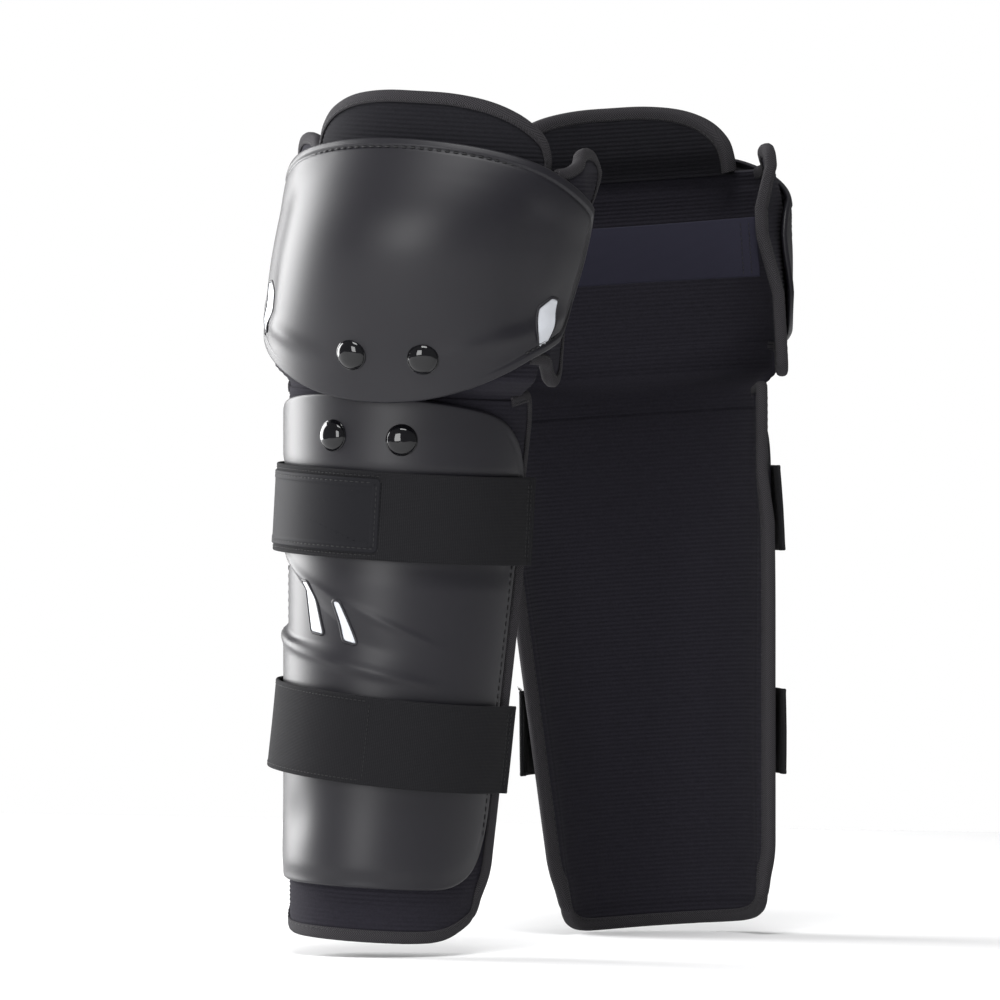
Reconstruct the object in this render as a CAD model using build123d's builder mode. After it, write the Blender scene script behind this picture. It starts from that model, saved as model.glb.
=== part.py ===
from build123d import *
import os
from math import cos, radians, sin, sqrt

# A pair of hard-shell knee and shin guards, in millimetres, +Z up.
#
# Each guard is drawn in its own upright frame: x to the wearer's left, y to the back, z up from
# the bottom hem of the liner. The right guard faces -Y. The left guard is its mirror image,
# sprung a little wider open, and stands behind it, turned away. The origin is on the right leg's
# axis at the height of the knee hinge.

# ---- placing of the two guards ----
HINGE_Z = 312.0
HINGE_Y = -70.0
RIGHT_LEAN = 3.3
LEFT_LEAN = -3.8
LEFT_PLACE = (43.0, 230.0, -6.0)
LEFT_TURN = 202.0
LEFT_SPREAD = 1.10
# height and sideways offset of the right guard's knee section from its shin: it sags inward
KNEE_SHIFT = ((304, 6.0), (331, 7.0), (360, 9.5), (396, 16.0), (420, 20.0), (454, 23.0))

# ---- hard shells ----
SHELL_WALL = 2.6
CUP_WALL = 3.0
SHELL_BOTTOM_Z = 30.0
SHELL_TOP_Z = 308.0
SHELL_BOTTOM_WIDTH = 58.0
SHELL_TOP_WIDTH = 74.5
SHELL_BOTTOM_DEPTH = 62.0
SHELL_TOP_DEPTH = 66.0
CUP_CENTRE_Y = -20.0
CUP_REAR_Y = -2.0
# height, half width and depth in front of the centre line of the knee cup
CUP_STATIONS = (
    (304, 82.0, 56.0),
    (331, 86.5, 63.0),
    (360, 89.0, 70.5),
    (396, 91.0, 77.0),
    (420, 90.5, 75.0),
    (436, 88.0, 70.0),
    (454, 81.0, 62.0),
)

# ---- soft liner: cover, foam and lining, bound at the edge ----
SKIN = 0.7
FOAM = 3.4
PLY_GAP = 0.1
LINER_WALL = SKIN + PLY_GAP + FOAM + PLY_GAP + SKIN
SIDE_GAP = 0.4
FRONT_GAP = 4.4
BINDING = 5.0
SHIN_REAR_Y = 7.0
SHIN_FLARE = 5.0
WING_REAR_Y = 17.0
WING_REAR_WIDTH = 83.6
WING_TOE_IN = 13.0
WING_TOP_FLARE = 9.0
WING_FLARE_Z = 415.0
WING_EASE = 8.0
WING_EASE_Z = 365.0

# ---- straps and rivets ----
STRAP_WALL = 1.8
STRAP_GAP = 1.5
STRAP_REAR_Y = 3.0
UPPER_STRAP = (215.5, 50.0, 0.0, 0.0)
LOWER_STRAP = (89.5, 50.0, 3.3, 5.0)
STRAP_FLARE = 2.0
HOOK_WALL = 0.9
HOOK_END_X = 14.0
BADGE_WALL = 1.0
BADGE_END_X = 12.0
BADGE_HEIGHT = 42.0
KNEE_STRAP_Z = 376.0
KNEE_STRAP_HEIGHT = 35.0
KNEE_STRAP_Y = 8.0
KNEE_STRAP_BOW = 4.0
KNEE_STRAP_CLEAR = 2.6
HEM_RADIUS = 1.3
RIVET_X = 21.0
CUP_RIVET_Z = 331.0
CUP_RIVET_DRIFT = 10.0
SHIN_RIVET_Z = 284.0
RIVET_HEAD = 8.75
RIVET_RISE = 3.6
RIVET_SEAT = 0.2
RIVET_DOME = 3.3
CUP_SLOPE = 0.26
SHELL_SLOPE = 0.02
SHANK = 2.2
TAIL_RADIUS = 3.5
TAIL_WALL = 0.5
HOLE = 2.35
LINK_WALL = 1.2
LINK_WIDTH = 20.0
LINK_GAP = 0.25
WASHER_RADIUS = 6.5
WASHER_WALL = 0.6

# ---- tongue above the cup: height, half width, depth at its two ends ----
TONGUE_STATIONS = ((430, 76.0, 58.0), (486, 71.0, 49.0))
TONGUE_WALL = 6.5
TONGUE_Z = 440.0

# ---- flex panel ----
FLEX_WALL = 2.4
FLEX_SINK = 1.2
FLEX_WIDTH = 68.0
FLEX_TOP = (319.7, 82.0, 59.0)
FLEX_BOTTOM_Z = 309.3

# ---- reflective windows: corner points about the middle of each ----
CUP_WINDOW = ((3, 14), (9.5, 13), (8, 2), (1.5, -14), (-6, -13.4), (-8.5, -5), (-7, 8))
CUP_WINDOW_Z = 354.0
# angle round from the front of the inner and the outer window
CUP_WINDOW_TURNS = (76.0, 62.0)
# middle x and z, then the corners, of the two windows of the shin shell
SHIN_WINDOWS = (
    (-33, 186, ((-7.7, 14), (-1.3, 14), (9.5, -14.5), (-0.5, -13.5))),
    (-9, 179, ((-6.4, 11.5), (-2.4, 11.5), (8.4, -11.5), (0.4, -10))),
)
WINDOW_ROUND = 1.2
WINDOW_FIT = 0.15
WINDOW_CUT = 12.0
INSERT_SINK = 0.6

# larger than either guard, for cuts that go right through
REACH = 260.0


class Guard:
    """One guard: its name, mirror side, spread and the planes its outlines are drawn on."""

    def __init__(self, name, side, spread, sags, lean, turn, place):
        self.name = name
        self.side = side
        self.spread = spread
        self.sags = sags
        tilt = radians(lean)
        level = Vector(cos(radians(turn)), sin(radians(turn)), 0)
        up = level * side * sin(tilt) + Vector(0, 0, cos(tilt))
        across = level * cos(tilt) - Vector(0, 0, side * sin(tilt))
        back = up.cross(across)
        origin = Vector(*place) - up * HINGE_Z
        self.rivet_drift = CUP_RIVET_DRIFT if sags else 0.0
        self.plane = Plane(origin=origin, x_dir=across, z_dir=up)
        self.front = Plane(origin=origin, x_dir=across, z_dir=back * -1)
        self.profile = Plane(origin=origin, x_dir=back, z_dir=across)

    def x(self, value):
        return value * self.side * self.spread

    def point(self, x, y, z):
        return self.plane.from_local_coords(Vector(x, y, z))

    def direction(self, x, y, z):
        return self.plane.from_local_coords(Vector(x, y, z)) - self.plane.origin

    def knee_x(self, z):
        if not self.sags:
            return 0.0
        index = max(i for i in range(len(KNEE_SHIFT) - 1) if KNEE_SHIFT[i][0] <= max(z, 304))
        (low, start), (high, end) = KNEE_SHIFT[index : index + 2]
        share = min((z - low) / (high - low), 1.0)
        return self.side * (start + share * (end - start))


RIGHT = Guard("right", 1, 1.0, True, RIGHT_LEAN, 0.0, (0, 0, 0))
LEFT = Guard("left", -1, LEFT_SPREAD, False, LEFT_LEAN, LEFT_TURN, LEFT_PLACE)
GUARDS = (RIGHT, LEFT)


# ---- cross-sections ----
def shell_width(z):
    share = (z - SHELL_BOTTOM_Z) / (SHELL_TOP_Z - SHELL_BOTTOM_Z)
    return SHELL_BOTTOM_WIDTH + share * (SHELL_TOP_WIDTH - SHELL_BOTTOM_WIDTH)


def shell_depth(z):
    share = (z - SHELL_BOTTOM_Z) / (SHELL_TOP_Z - SHELL_BOTTOM_Z)
    return SHELL_BOTTOM_DEPTH + share * (SHELL_TOP_DEPTH - SHELL_BOTTOM_DEPTH)


def cup_size(guard, z):
    """Half width and depth of the cup's outer face at a height on its lower half."""
    lower, middle, upper = CUP_STATIONS[:3]
    if z > middle[0]:
        lower, middle = middle, upper
    share = (z - lower[0]) / (middle[0] - lower[0])
    width = lower[1] + share * (middle[1] - lower[1])
    return width * guard.spread, lower[2] + share * (middle[2] - lower[2])


def horseshoe(plane, centre, width, depth, wall, rear_y, near_x, far_x):
    """A bent wall open to the back: half an ellipse, then straight sides to the rear edge.
    near_x and far_x are the places of its two rear edges, low x first."""
    cx, cy = centre
    with BuildSketch(plane) as section:
        with BuildLine():
            EllipticalCenterArc(centre, width, depth, start_angle=180, arc_size=180)
            EllipticalCenterArc(
                centre, width - wall, depth - wall, start_angle=180, arc_size=180
            )
            Polyline(
                (cx - width, cy), (near_x, rear_y), (near_x + wall, rear_y), (cx - width + wall, cy)
            )
            Polyline(
                (cx + width, cy), (far_x, rear_y), (far_x - wall, rear_y), (cx + width - wall, cy)
            )
        make_face()
    return section.sketch


def half_ring(plane, width, depth, wall):
    with BuildSketch(plane) as section:
        with BuildLine():
            EllipticalCenterArc((0, 0), width, depth, start_angle=180, arc_size=180)
            EllipticalCenterArc((0, 0), width - wall, depth - wall, start_angle=180, arc_size=180)
            Line((-width, 0), (wall - width, 0))
            Line((width, 0), (width - wall, 0))
        make_face()
    return section.sketch


def shell_sections(guard, inset, wall):
    sections = []
    for z in (SHELL_BOTTOM_Z - 10, SHELL_TOP_Z + 10):
        width = shell_width(z) * guard.spread - inset
        sections.append(half_ring(guard.plane.offset(z), width, shell_depth(z) - inset, wall))
    return sections


def cup_sections(guard, inset, wall):
    sections = []
    for z, half, depth in CUP_STATIONS:
        cx = guard.knee_x(z)
        width = half * guard.spread - inset
        near, far = wing_edges(guard, z, cx, width, CUP_REAR_Y, inset)
        sections.append(
            horseshoe(
                guard.plane.offset(z),
                (cx, CUP_CENTRE_Y),
                width,
                depth - inset,
                wall,
                CUP_REAR_Y,
                near,
                far,
            )
        )
    return sections


def wing_edges(guard, z, cx, width, rear_y, inset):
    """Rear edges of the knee walls, low x first. A wing always ends wide enough to pass the shin
    shell when the knee bends, and its top corner rolls outward."""
    share = (rear_y - CUP_CENTRE_Y) / (WING_REAR_Y - CUP_CENTRE_Y)
    flare = WING_TOP_FLARE * max(0.0, min(1.0, (z - WING_FLARE_Z) / 25))
    ease = WING_EASE * max(0.0, min(1.0, (z - WING_EASE_Z) / 35))
    wide = WING_REAR_WIDTH * guard.spread - ease + SIDE_GAP + CUP_WALL - inset
    ends = []
    for sign in (-1, 1):
        side_x = cx + sign * width
        rear_x = sign * (max(wide, abs(side_x) - WING_TOE_IN) + flare)
        ends.append(side_x + share * (rear_x - side_x))
    return ends


def knee_liner_sections(guard, inset, wall):
    sections = []
    side = CUP_WALL + SIDE_GAP + inset
    for z, half, depth in CUP_STATIONS:
        cx = guard.knee_x(z)
        width = half * guard.spread - side
        front = depth - CUP_WALL - FRONT_GAP - inset
        near, far = wing_edges(guard, z, cx, width, WING_REAR_Y, side)
        plane = guard.plane.offset(z)
        centre = (cx, CUP_CENTRE_Y)
        sections.append(horseshoe(plane, centre, width, front, wall, WING_REAR_Y, near, far))
    return sections


def shin_liner_sections(guard, inset, wall):
    sections = []
    for z, flare in ((-2, SHIN_FLARE), (232, SHIN_FLARE), (262, 0.0), (318, 0.0)):
        width = shell_width(z) * guard.spread - SHELL_WALL - SIDE_GAP - inset
        depth = shell_depth(z) - SHELL_WALL - FRONT_GAP - inset
        rear = width + flare
        sections.append(
            horseshoe(
                guard.plane.offset(z), (0, 0), width, depth, wall, SHIN_REAR_Y, -rear, rear
            )
        )
    return sections


# ---- outlines, drawn on a guard's front plane (x, z) or profile plane (y, z) ----
def shell_outline(guard):
    x = guard.x
    with BuildSketch() as outline:
        with BuildLine():
            Spline(
                (x(-75), 268), (x(-69), 292), (x(-50), 303), (0, 308), (x(50), 303), (x(69), 292),
                (x(75), 268),
            )
            Polyline((x(75), 268), (x(82), 240), (x(82), 75), (x(59), 66))
            Spline(
                (x(59), 66), (x(56.5), 44), (x(49), 32.5), (x(36), 30), (x(-36), 30), (x(-49), 32.5),
                (x(-56.5), 44), (x(-59), 66),
            )
            Polyline((x(-59), 66), (x(-82), 75), (x(-82), 240), (x(-75), 268))
        make_face()
    return outline.sketch


def cup_outline(guard):
    half = (
        (0, 454), (32, 452), (61, 446), (79, 438), (92, 418), (97, 385), (92, 348), (79, 325),
        (52, 310),
    )
    ring = [*half, (0, 304)] + [(-x, z) for x, z in reversed(half[1:])]
    points = [(guard.knee_x(z) + guard.x(x), z) for x, z in ring]
    with BuildSketch() as outline:
        with BuildLine():
            Spline(*points, periodic=True)
        make_face()
    return outline.sketch


def shin_liner_outline(guard, inset):
    """Rounded bottom hem, straight sides and a top edge that rises beside the flex panel."""
    x = guard.x
    low = inset * 0.7
    with BuildSketch() as outline:
        with BuildLine():
            Polyline((x(-34), inset), (x(34), inset))
            Spline(
                (x(34), inset), (x(57 - low), 13 + low), (x(66 - inset), 44), (x(90), 80),
                tangents=((guard.side, 0), (guard.side, 1)),
            )
            Polyline((x(90), 80), (x(90), 300 - inset), (x(68), 314 - inset), (x(44), 309 - inset))
            Polyline((x(44), 309 - inset), (x(-44), 309 - inset))
            Polyline((x(-44), 309 - inset), (x(-68), 314 - inset), (x(-90), 300 - inset))
            Polyline((x(-90), 300 - inset), (x(-90), 80))
            Spline(
                (x(-90), 80), (x(inset - 66), 44), (x(low - 57), 13 + low), (x(-34), inset),
                tangents=((guard.side, -1), (guard.side, 0)),
            )
        make_face()
    return outline.sketch


def knee_liner_profile(inset):
    with BuildSketch() as outline:
        with BuildLine():
            FilletPolyline(
                (-130, 320), (-66, 320), (-50, 331), (-20, 331), (WING_REAR_Y, 317),
                (WING_REAR_Y, 452), (-14, 452), (-40, 440), (-130, 440),
                radius=7, close=True,
            )
        make_face()
        if inset:
            offset(amount=-inset, kind=Kind.INTERSECTION, mode=Mode.REPLACE)
    return outline.sketch


def tongue_outline(guard, inset):
    """Half round, inset from its bound edge but not from its foot behind the cup."""
    shift = guard.knee_x(TONGUE_Z)
    half = (
        (70 - inset, 441), (69 - inset, 456 - 0.3 * inset), (54 - 0.7 * inset, 471 - 0.7 * inset),
        (28 - 0.2 * inset, 478 - inset),
    )
    right = [(shift + guard.side * x, z) for x, z in half]
    left = [(shift - guard.side * x, z) for x, z in reversed(half)]
    with BuildSketch() as outline:
        with BuildLine():
            Spline(*right, (shift, 480 - inset), *left)
            Line(left[-1], right[0])
        make_face()
    return outline.sketch


def front_only(cut_z):
    """Everything behind the knee's centre line, to cut from pieces that only cover the front."""
    with BuildSketch() as area:
        with Locations((CUP_CENTRE_Y + 100, cut_z)):
            Rectangle(200, 200)
    return area.sketch


def cup_window_plane(guard, sign):
    """On the cup's flank, square to its wall. sign is the side, low x first."""
    turn = radians(CUP_WINDOW_TURNS[0 if sign == guard.side else 1])
    width, depth = cup_size(guard, CUP_WINDOW_Z)
    cx = guard.knee_x(CUP_WINDOW_Z)
    at = guard.point(cx + sign * width * sin(turn), CUP_CENTRE_Y - depth * cos(turn), CUP_WINDOW_Z)
    normal = guard.direction(sign * sin(turn) / width, -cos(turn) / depth, 0)
    across = normal.cross(guard.plane.z_dir) * -sign
    return Plane(origin=at, x_dir=across, z_dir=normal)


def shin_window_plane(guard, middle, z):
    x = guard.x(middle)
    width = shell_width(z) * guard.spread
    depth = shell_depth(z)
    y = -depth * sqrt(1 - (x / width) ** 2)
    normal = guard.direction(x / width**2, y / depth**2, 0)
    across = guard.plane.z_dir.cross(normal)
    return Plane(origin=guard.point(x, y, z), x_dir=across, z_dir=normal)


def window_face(corners, side, shrink):
    with BuildSketch() as face:
        with BuildLine():
            Polyline(*[(side * x, z) for x, z in corners], close=True)
        make_face()
        fillet(face.vertices(), radius=WINDOW_ROUND)
        if shrink:
            offset(amount=-shrink, mode=Mode.REPLACE)
    return face.sketch


def rivet_planes(guard, z):
    """The two rivets of a shell, each square to the wall it goes through."""
    planes = []
    for sign in (-1, 1):
        if z == CUP_RIVET_Z:
            cx, cy, slope, drift = guard.knee_x(z), CUP_CENTRE_Y, CUP_SLOPE, guard.rivet_drift
            width, depth = cup_size(guard, z)
        else:
            cx, cy, slope, drift = 0, 0, SHELL_SLOPE, 0
            width, depth = shell_width(z) * guard.spread, shell_depth(z)
        x = sign * RIVET_X + drift
        y = -depth * sqrt(1 - (x / width) ** 2)
        normal = guard.direction(x / width**2, y / depth**2, slope * y / depth**2).normalized()
        at = guard.point(cx + x, cy + y, z)
        planes.append(Plane(origin=at, x_dir=guard.plane.x_dir, z_dir=normal))
    return planes


# ---- sub-parts ----
def knee_cup(guard):
    with BuildPart() as cup:
        loft(cup_sections(guard, 0, CUP_WALL))
        with BuildSketch(guard.front):
            add(cup_outline(guard))
        extrude(amount=REACH, both=True, mode=Mode.INTERSECT)
        for sign in (-1, 1):
            with BuildSketch(cup_window_plane(guard, sign)):
                add(window_face(CUP_WINDOW, sign, 0))
            extrude(amount=WINDOW_CUT, both=True, mode=Mode.SUBTRACT)
        with BuildSketch(*rivet_planes(guard, CUP_RIVET_Z)):
            Circle(HOLE)
        extrude(amount=WINDOW_CUT, both=True, mode=Mode.SUBTRACT)
    return cup.part


def window_block(plane, face):
    """A block through a wall at a window: what it shares with the wall is the insert."""
    with BuildPart() as block:
        with BuildSketch(plane):
            add(face)
        extrude(amount=WINDOW_CUT, both=True)
    return block.part


def cup_inserts(guard):
    blocks = []
    for sign in (-1, 1):
        face = window_face(CUP_WINDOW, sign, WINDOW_FIT)
        blocks.append(window_block(cup_window_plane(guard, sign), face))
    with BuildPart() as inserts:
        loft(cup_sections(guard, INSERT_SINK, CUP_WALL - 2 * INSERT_SINK))
        add(blocks, mode=Mode.INTERSECT)
    return inserts.part


def shin_shell(guard):
    with BuildPart() as shell:
        loft(shell_sections(guard, 0, SHELL_WALL), ruled=True)
        with BuildSketch(guard.front):
            add(shell_outline(guard))
        extrude(amount=REACH, both=True, mode=Mode.INTERSECT)
        for middle, z, corners in SHIN_WINDOWS:
            with BuildSketch(shin_window_plane(guard, middle, z)):
                add(window_face(corners, guard.side, 0))
            extrude(amount=WINDOW_CUT, both=True, mode=Mode.SUBTRACT)
        with BuildSketch(*rivet_planes(guard, SHIN_RIVET_Z)):
            Circle(HOLE)
        extrude(amount=WINDOW_CUT, both=True, mode=Mode.SUBTRACT)
    return shell.part


def shin_inserts(guard):
    blocks = []
    for middle, z, corners in SHIN_WINDOWS:
        face = window_face(corners, guard.side, WINDOW_FIT)
        blocks.append(window_block(shin_window_plane(guard, middle, z), face))
    with BuildPart() as inserts:
        loft(shell_sections(guard, INSERT_SINK, SHELL_WALL - 2 * INSERT_SINK), ruled=True)
        add(blocks, mode=Mode.INTERSECT)
    return inserts.part


def rivets(guard, z, wall):
    """Domed caps outside, with shanks and clenched tails behind the link straps."""
    planes = rivet_planes(guard, z)
    heads = [plane.offset(RIVET_SEAT) for plane in planes]
    tail = wall + LINK_WALL + WASHER_WALL + 0.9
    with BuildPart() as pair:
        with BuildSketch(*heads):
            Circle(RIVET_HEAD)
        extrude(amount=RIVET_RISE)
        rims = pair.edges().filter_by(GeomType.CIRCLE)
        fillet([rim for rim in rims if at_height(rim, heads, RIVET_RISE)], radius=RIVET_DOME)
        with BuildSketch(*heads):
            Circle(SHANK)
        extrude(amount=-tail)
        with BuildSketch(*[plane.offset(-tail) for plane in planes]):
            Circle(TAIL_RADIUS)
        extrude(amount=-TAIL_WALL)
    return pair.part


def at_height(edge, planes, height):
    """True for a rim that lies at the given height above one of the planes."""
    return any(abs(plane.to_local_coords(edge.center()).Z - height) < 0.01 for plane in planes)


def washers(guard, z, wall):
    depth = wall + LINK_WALL + 0.75
    with BuildPart() as pair:
        with BuildSketch(*[p.offset(-depth) for p in rivet_planes(guard, z)]):
            Circle(WASHER_RADIUS)
            Circle(HOLE, mode=Mode.SUBTRACT)
        extrude(amount=-WASHER_WALL)
    return pair.part


def link_straps(guard):
    """Two webbing links behind the shells, from the cup's rivets to the shin shell's."""
    upper = []
    for z in (340, 320):
        cx = guard.knee_x(z)
        width, depth = cup_size(guard, z)
        width -= CUP_WALL + 2 * LINK_GAP
        depth -= CUP_WALL + 2 * LINK_GAP
        upper.append(
            horseshoe(
                guard.plane.offset(z), (cx, CUP_CENTRE_Y), width, depth, LINK_WALL, CUP_CENTRE_Y + 1,
                cx - width, cx + width,
            )
        )
    lower = []
    for z in (309.5, 275):
        width = shell_width(z) * guard.spread - SHELL_WALL - LINK_GAP
        depth = shell_depth(z) - SHELL_WALL - LINK_GAP
        lower.append(
            horseshoe(guard.plane.offset(z), (0, 0), width, depth, LINK_WALL, 1, -width, width)
        )
    shift = guard.knee_x(CUP_RIVET_Z) + guard.rivet_drift
    half = LINK_WIDTH / 2
    with BuildPart() as links:
        loft([*upper, *lower], ruled=True)
        with BuildSketch(guard.front):
            for sign in (-1, 1):
                x = sign * RIVET_X
                with BuildLine():
                    Polyline(
                        (x - half, 276), (x + half, 276), (x + half, 300), (x + shift + half, 326),
                        (x + shift + half, 339), (x + shift - half, 339), (x + shift - half, 326),
                        (x - half, 300), close=True,
                    )
                make_face()
        extrude(amount=REACH, both=True, mode=Mode.INTERSECT)
        for z in (CUP_RIVET_Z, SHIN_RIVET_Z):
            with BuildSketch(*rivet_planes(guard, z)):
                Circle(HOLE)
            extrude(amount=WINDOW_CUT, both=True, mode=Mode.SUBTRACT)
        with BuildSketch(guard.profile):
            add(front_only(SHELL_TOP_Z))
        extrude(amount=REACH, both=True, mode=Mode.SUBTRACT)
    return links.part


def flex_panel(guard):
    """The soft strip that joins the knee and shin liners in front of the joint."""
    z, half, depth = FLEX_TOP
    cx = guard.knee_x(z)
    inner = CUP_WALL + FRONT_GAP + FLEX_SINK
    width = half * guard.spread - inner
    upper = horseshoe(
        guard.plane.offset(z), (cx, CUP_CENTRE_Y), width, depth - inner, FLEX_WALL,
        CUP_CENTRE_Y + 1, cx - width, cx + width,
    )
    z = FLEX_BOTTOM_Z
    width = shell_width(z) * guard.spread - SHELL_WALL - SIDE_GAP - FLEX_SINK
    depth = shell_depth(z) - SHELL_WALL - FRONT_GAP - FLEX_SINK
    lower = horseshoe(guard.plane.offset(z), (0, 0), width, depth, FLEX_WALL, 1, -width, width)
    with BuildPart() as panel:
        loft([lower, upper], ruled=True)
        with BuildSketch(guard.front):
            with Locations((cx / 2, z)):
                Rectangle(FLEX_WIDTH, FLEX_WIDTH)
        extrude(amount=REACH, both=True, mode=Mode.INTERSECT)
        with BuildSketch(guard.profile):
            add(front_only(z))
        extrude(amount=REACH, both=True, mode=Mode.SUBTRACT)
    return panel.part


def knee_layer(guard, depth, wall, inset):
    """One ply of the knee liner, that much inside its outer face, ending short of its edge."""
    with BuildPart() as layer:
        loft(knee_liner_sections(guard, depth, wall))
        with BuildSketch(guard.profile):
            add(knee_liner_profile(inset))
        extrude(amount=REACH, both=True, mode=Mode.INTERSECT)
    return layer.part


def knee_binding(guard):
    with BuildPart() as binding:
        add(knee_layer(guard, 0, LINER_WALL, 0))
        with BuildSketch(guard.profile):
            add(knee_liner_profile(BINDING))
        extrude(amount=REACH, both=True, mode=Mode.SUBTRACT)
    return binding.part


def shin_layer(guard, depth, wall, inset):
    with BuildPart() as layer:
        loft(shin_liner_sections(guard, depth, wall), ruled=True)
        with BuildSketch(guard.front):
            add(shin_liner_outline(guard, inset))
        extrude(amount=REACH, both=True, mode=Mode.INTERSECT)
        if inset:
            with BuildSketch(guard.profile):
                with Locations((SHIN_REAR_Y - inset + 50, 150)):
                    Rectangle(100, 500)
            extrude(amount=REACH, both=True, mode=Mode.SUBTRACT)
    return layer.part


def shin_binding(guard):
    with BuildPart() as binding:
        add(shin_layer(guard, 0, LINER_WALL, 0))
        add(shin_layer(guard, -1.0, LINER_WALL + 2.0, BINDING), mode=Mode.SUBTRACT)
    return binding.part


def tongue_sections(guard):
    sections = []
    cx = guard.knee_x(TONGUE_Z)
    for z, half, depth in TONGUE_STATIONS:
        width = half * guard.spread
        sections.append(
            horseshoe(
                guard.plane.offset(z), (cx, CUP_CENTRE_Y), width, depth, TONGUE_WALL,
                CUP_CENTRE_Y + 1, cx - width, cx + width,
            )
        )
    return sections


def tongue_pad(guard, inset):
    with BuildPart() as pad:
        loft(tongue_sections(guard), ruled=True)
        with BuildSketch(guard.profile):
            add(front_only(TONGUE_Z))
        extrude(amount=REACH, both=True, mode=Mode.SUBTRACT)
        with BuildSketch(guard.front):
            add(tongue_outline(guard, inset))
        extrude(amount=REACH, both=True, mode=Mode.INTERSECT)
    return pad.part


def tongue_binding(guard):
    with BuildPart() as binding:
        add(tongue_pad(guard, 0))
        with BuildSketch(guard.front):
            add(tongue_outline(guard, BINDING))
        extrude(amount=REACH, both=True, mode=Mode.SUBTRACT)
    return binding.part


def strap_frame(guard, strap):
    """The plane of a shin strap's lower edge, and the shell's width and depth behind it."""
    z, height, slant, slack = strap
    across = guard.direction(cos(radians(slant)), 0, -guard.side * sin(radians(slant)))
    up = across.cross(guard.plane.y_dir)
    drift = guard.side * sin(radians(slant)) * height / 2
    base = Plane(origin=guard.point(-drift, 0, z), x_dir=across, z_dir=up)
    rise = guard.spread * shell_width(z) * sin(radians(slant))
    top = z + height + rise
    return base, shell_width(top) * guard.spread + abs(drift), shell_depth(top) + slack


def strap_band(guard, strap, inset, wall):
    """A band of constant section round the front of the shin shell."""
    base, width, depth = strap_frame(guard, strap)
    outer = STRAP_GAP + STRAP_WALL
    rear = width + outer + STRAP_FLARE - inset
    width = width + outer - inset
    depth = depth + outer - inset
    return horseshoe(base, (0, 0), width, depth, wall, STRAP_REAR_Y, -rear, rear)


def hem_place(guard, strap):
    """Middle of the sewn hem, on the inner side of the leg: a shin strap swings open about it."""
    _, width, _ = strap_frame(guard, strap)
    rear = width + STRAP_GAP + STRAP_WALL / 2 + STRAP_FLARE
    return guard.side * rear, STRAP_REAR_Y


def shin_strap(guard, strap):
    base, _, _ = strap_frame(guard, strap)
    with BuildPart() as band:
        with BuildSketch(base):
            add(base.to_local_coords(strap_band(guard, strap, 0, STRAP_WALL)))
            with Locations(hem_place(guard, strap)):
                Circle(HEM_RADIUS)
        extrude(amount=strap[1])
    return band.part


def strap_patch(guard, strap, inset, wall, end_x, height):
    """Hook tape inside, or a badge outside, along a shin strap's free end."""
    base, _, _ = strap_frame(guard, strap)
    start = (strap[1] - height) / 2
    with BuildPart() as patch:
        with BuildSketch(base.offset(start)):
            add(base.to_local_coords(strap_band(guard, strap, inset, wall)))
            x = guard.x(end_x)
            with Locations((x + guard.side * 100, 0)):
                Rectangle(200, 400, mode=Mode.SUBTRACT)
            with Locations((0, 46)):
                Rectangle(400, 100, mode=Mode.SUBTRACT)
        extrude(amount=height)
    return patch.part


def knee_strap(guard):
    """Smooth elastic strap behind the knee, sewn to the inner wing, hooked to the outer one."""
    base = guard.plane.offset(KNEE_STRAP_Z)
    with BuildPart() as band:
        with BuildSketch(base):
            with BuildLine():
                knee_strap_line(guard, 0)
                knee_strap_line(guard, STRAP_WALL)
                sewn, free = knee_strap_ends(guard)
                Line((sewn, KNEE_STRAP_Y), (sewn, KNEE_STRAP_Y + STRAP_WALL))
                Line((free, KNEE_STRAP_Y), (free, KNEE_STRAP_Y + STRAP_WALL))
            make_face()
            with Locations((sewn, KNEE_STRAP_Y + STRAP_WALL / 2)):
                Circle(HEM_RADIUS)
        extrude(amount=KNEE_STRAP_HEIGHT)
    return band.part


def knee_strap_ends(guard):
    """x of the sewn end, on the inner wing, and of the free end."""
    z, half, _ = CUP_STATIONS[3]
    inset = CUP_WALL + SIDE_GAP + LINER_WALL + KNEE_STRAP_CLEAR
    width = (half - 1) * guard.spread - inset
    lean = [guard.knee_x(KNEE_STRAP_Z), guard.knee_x(KNEE_STRAP_Z + KNEE_STRAP_HEIGHT)]
    near, _ = wing_edges(guard, z, max(lean), width, KNEE_STRAP_Y, inset)
    _, far = wing_edges(guard, z, min(lean), width, KNEE_STRAP_Y, inset)
    return (far, near) if guard.side > 0 else (near, far)


def knee_strap_line(guard, lift):
    sewn, free = knee_strap_ends(guard)
    middle = (sewn + free) / 2
    return ThreePointArc(
        (sewn, KNEE_STRAP_Y + lift), (middle, KNEE_STRAP_Y + KNEE_STRAP_BOW + lift),
        (free, KNEE_STRAP_Y + lift),
    )


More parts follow.
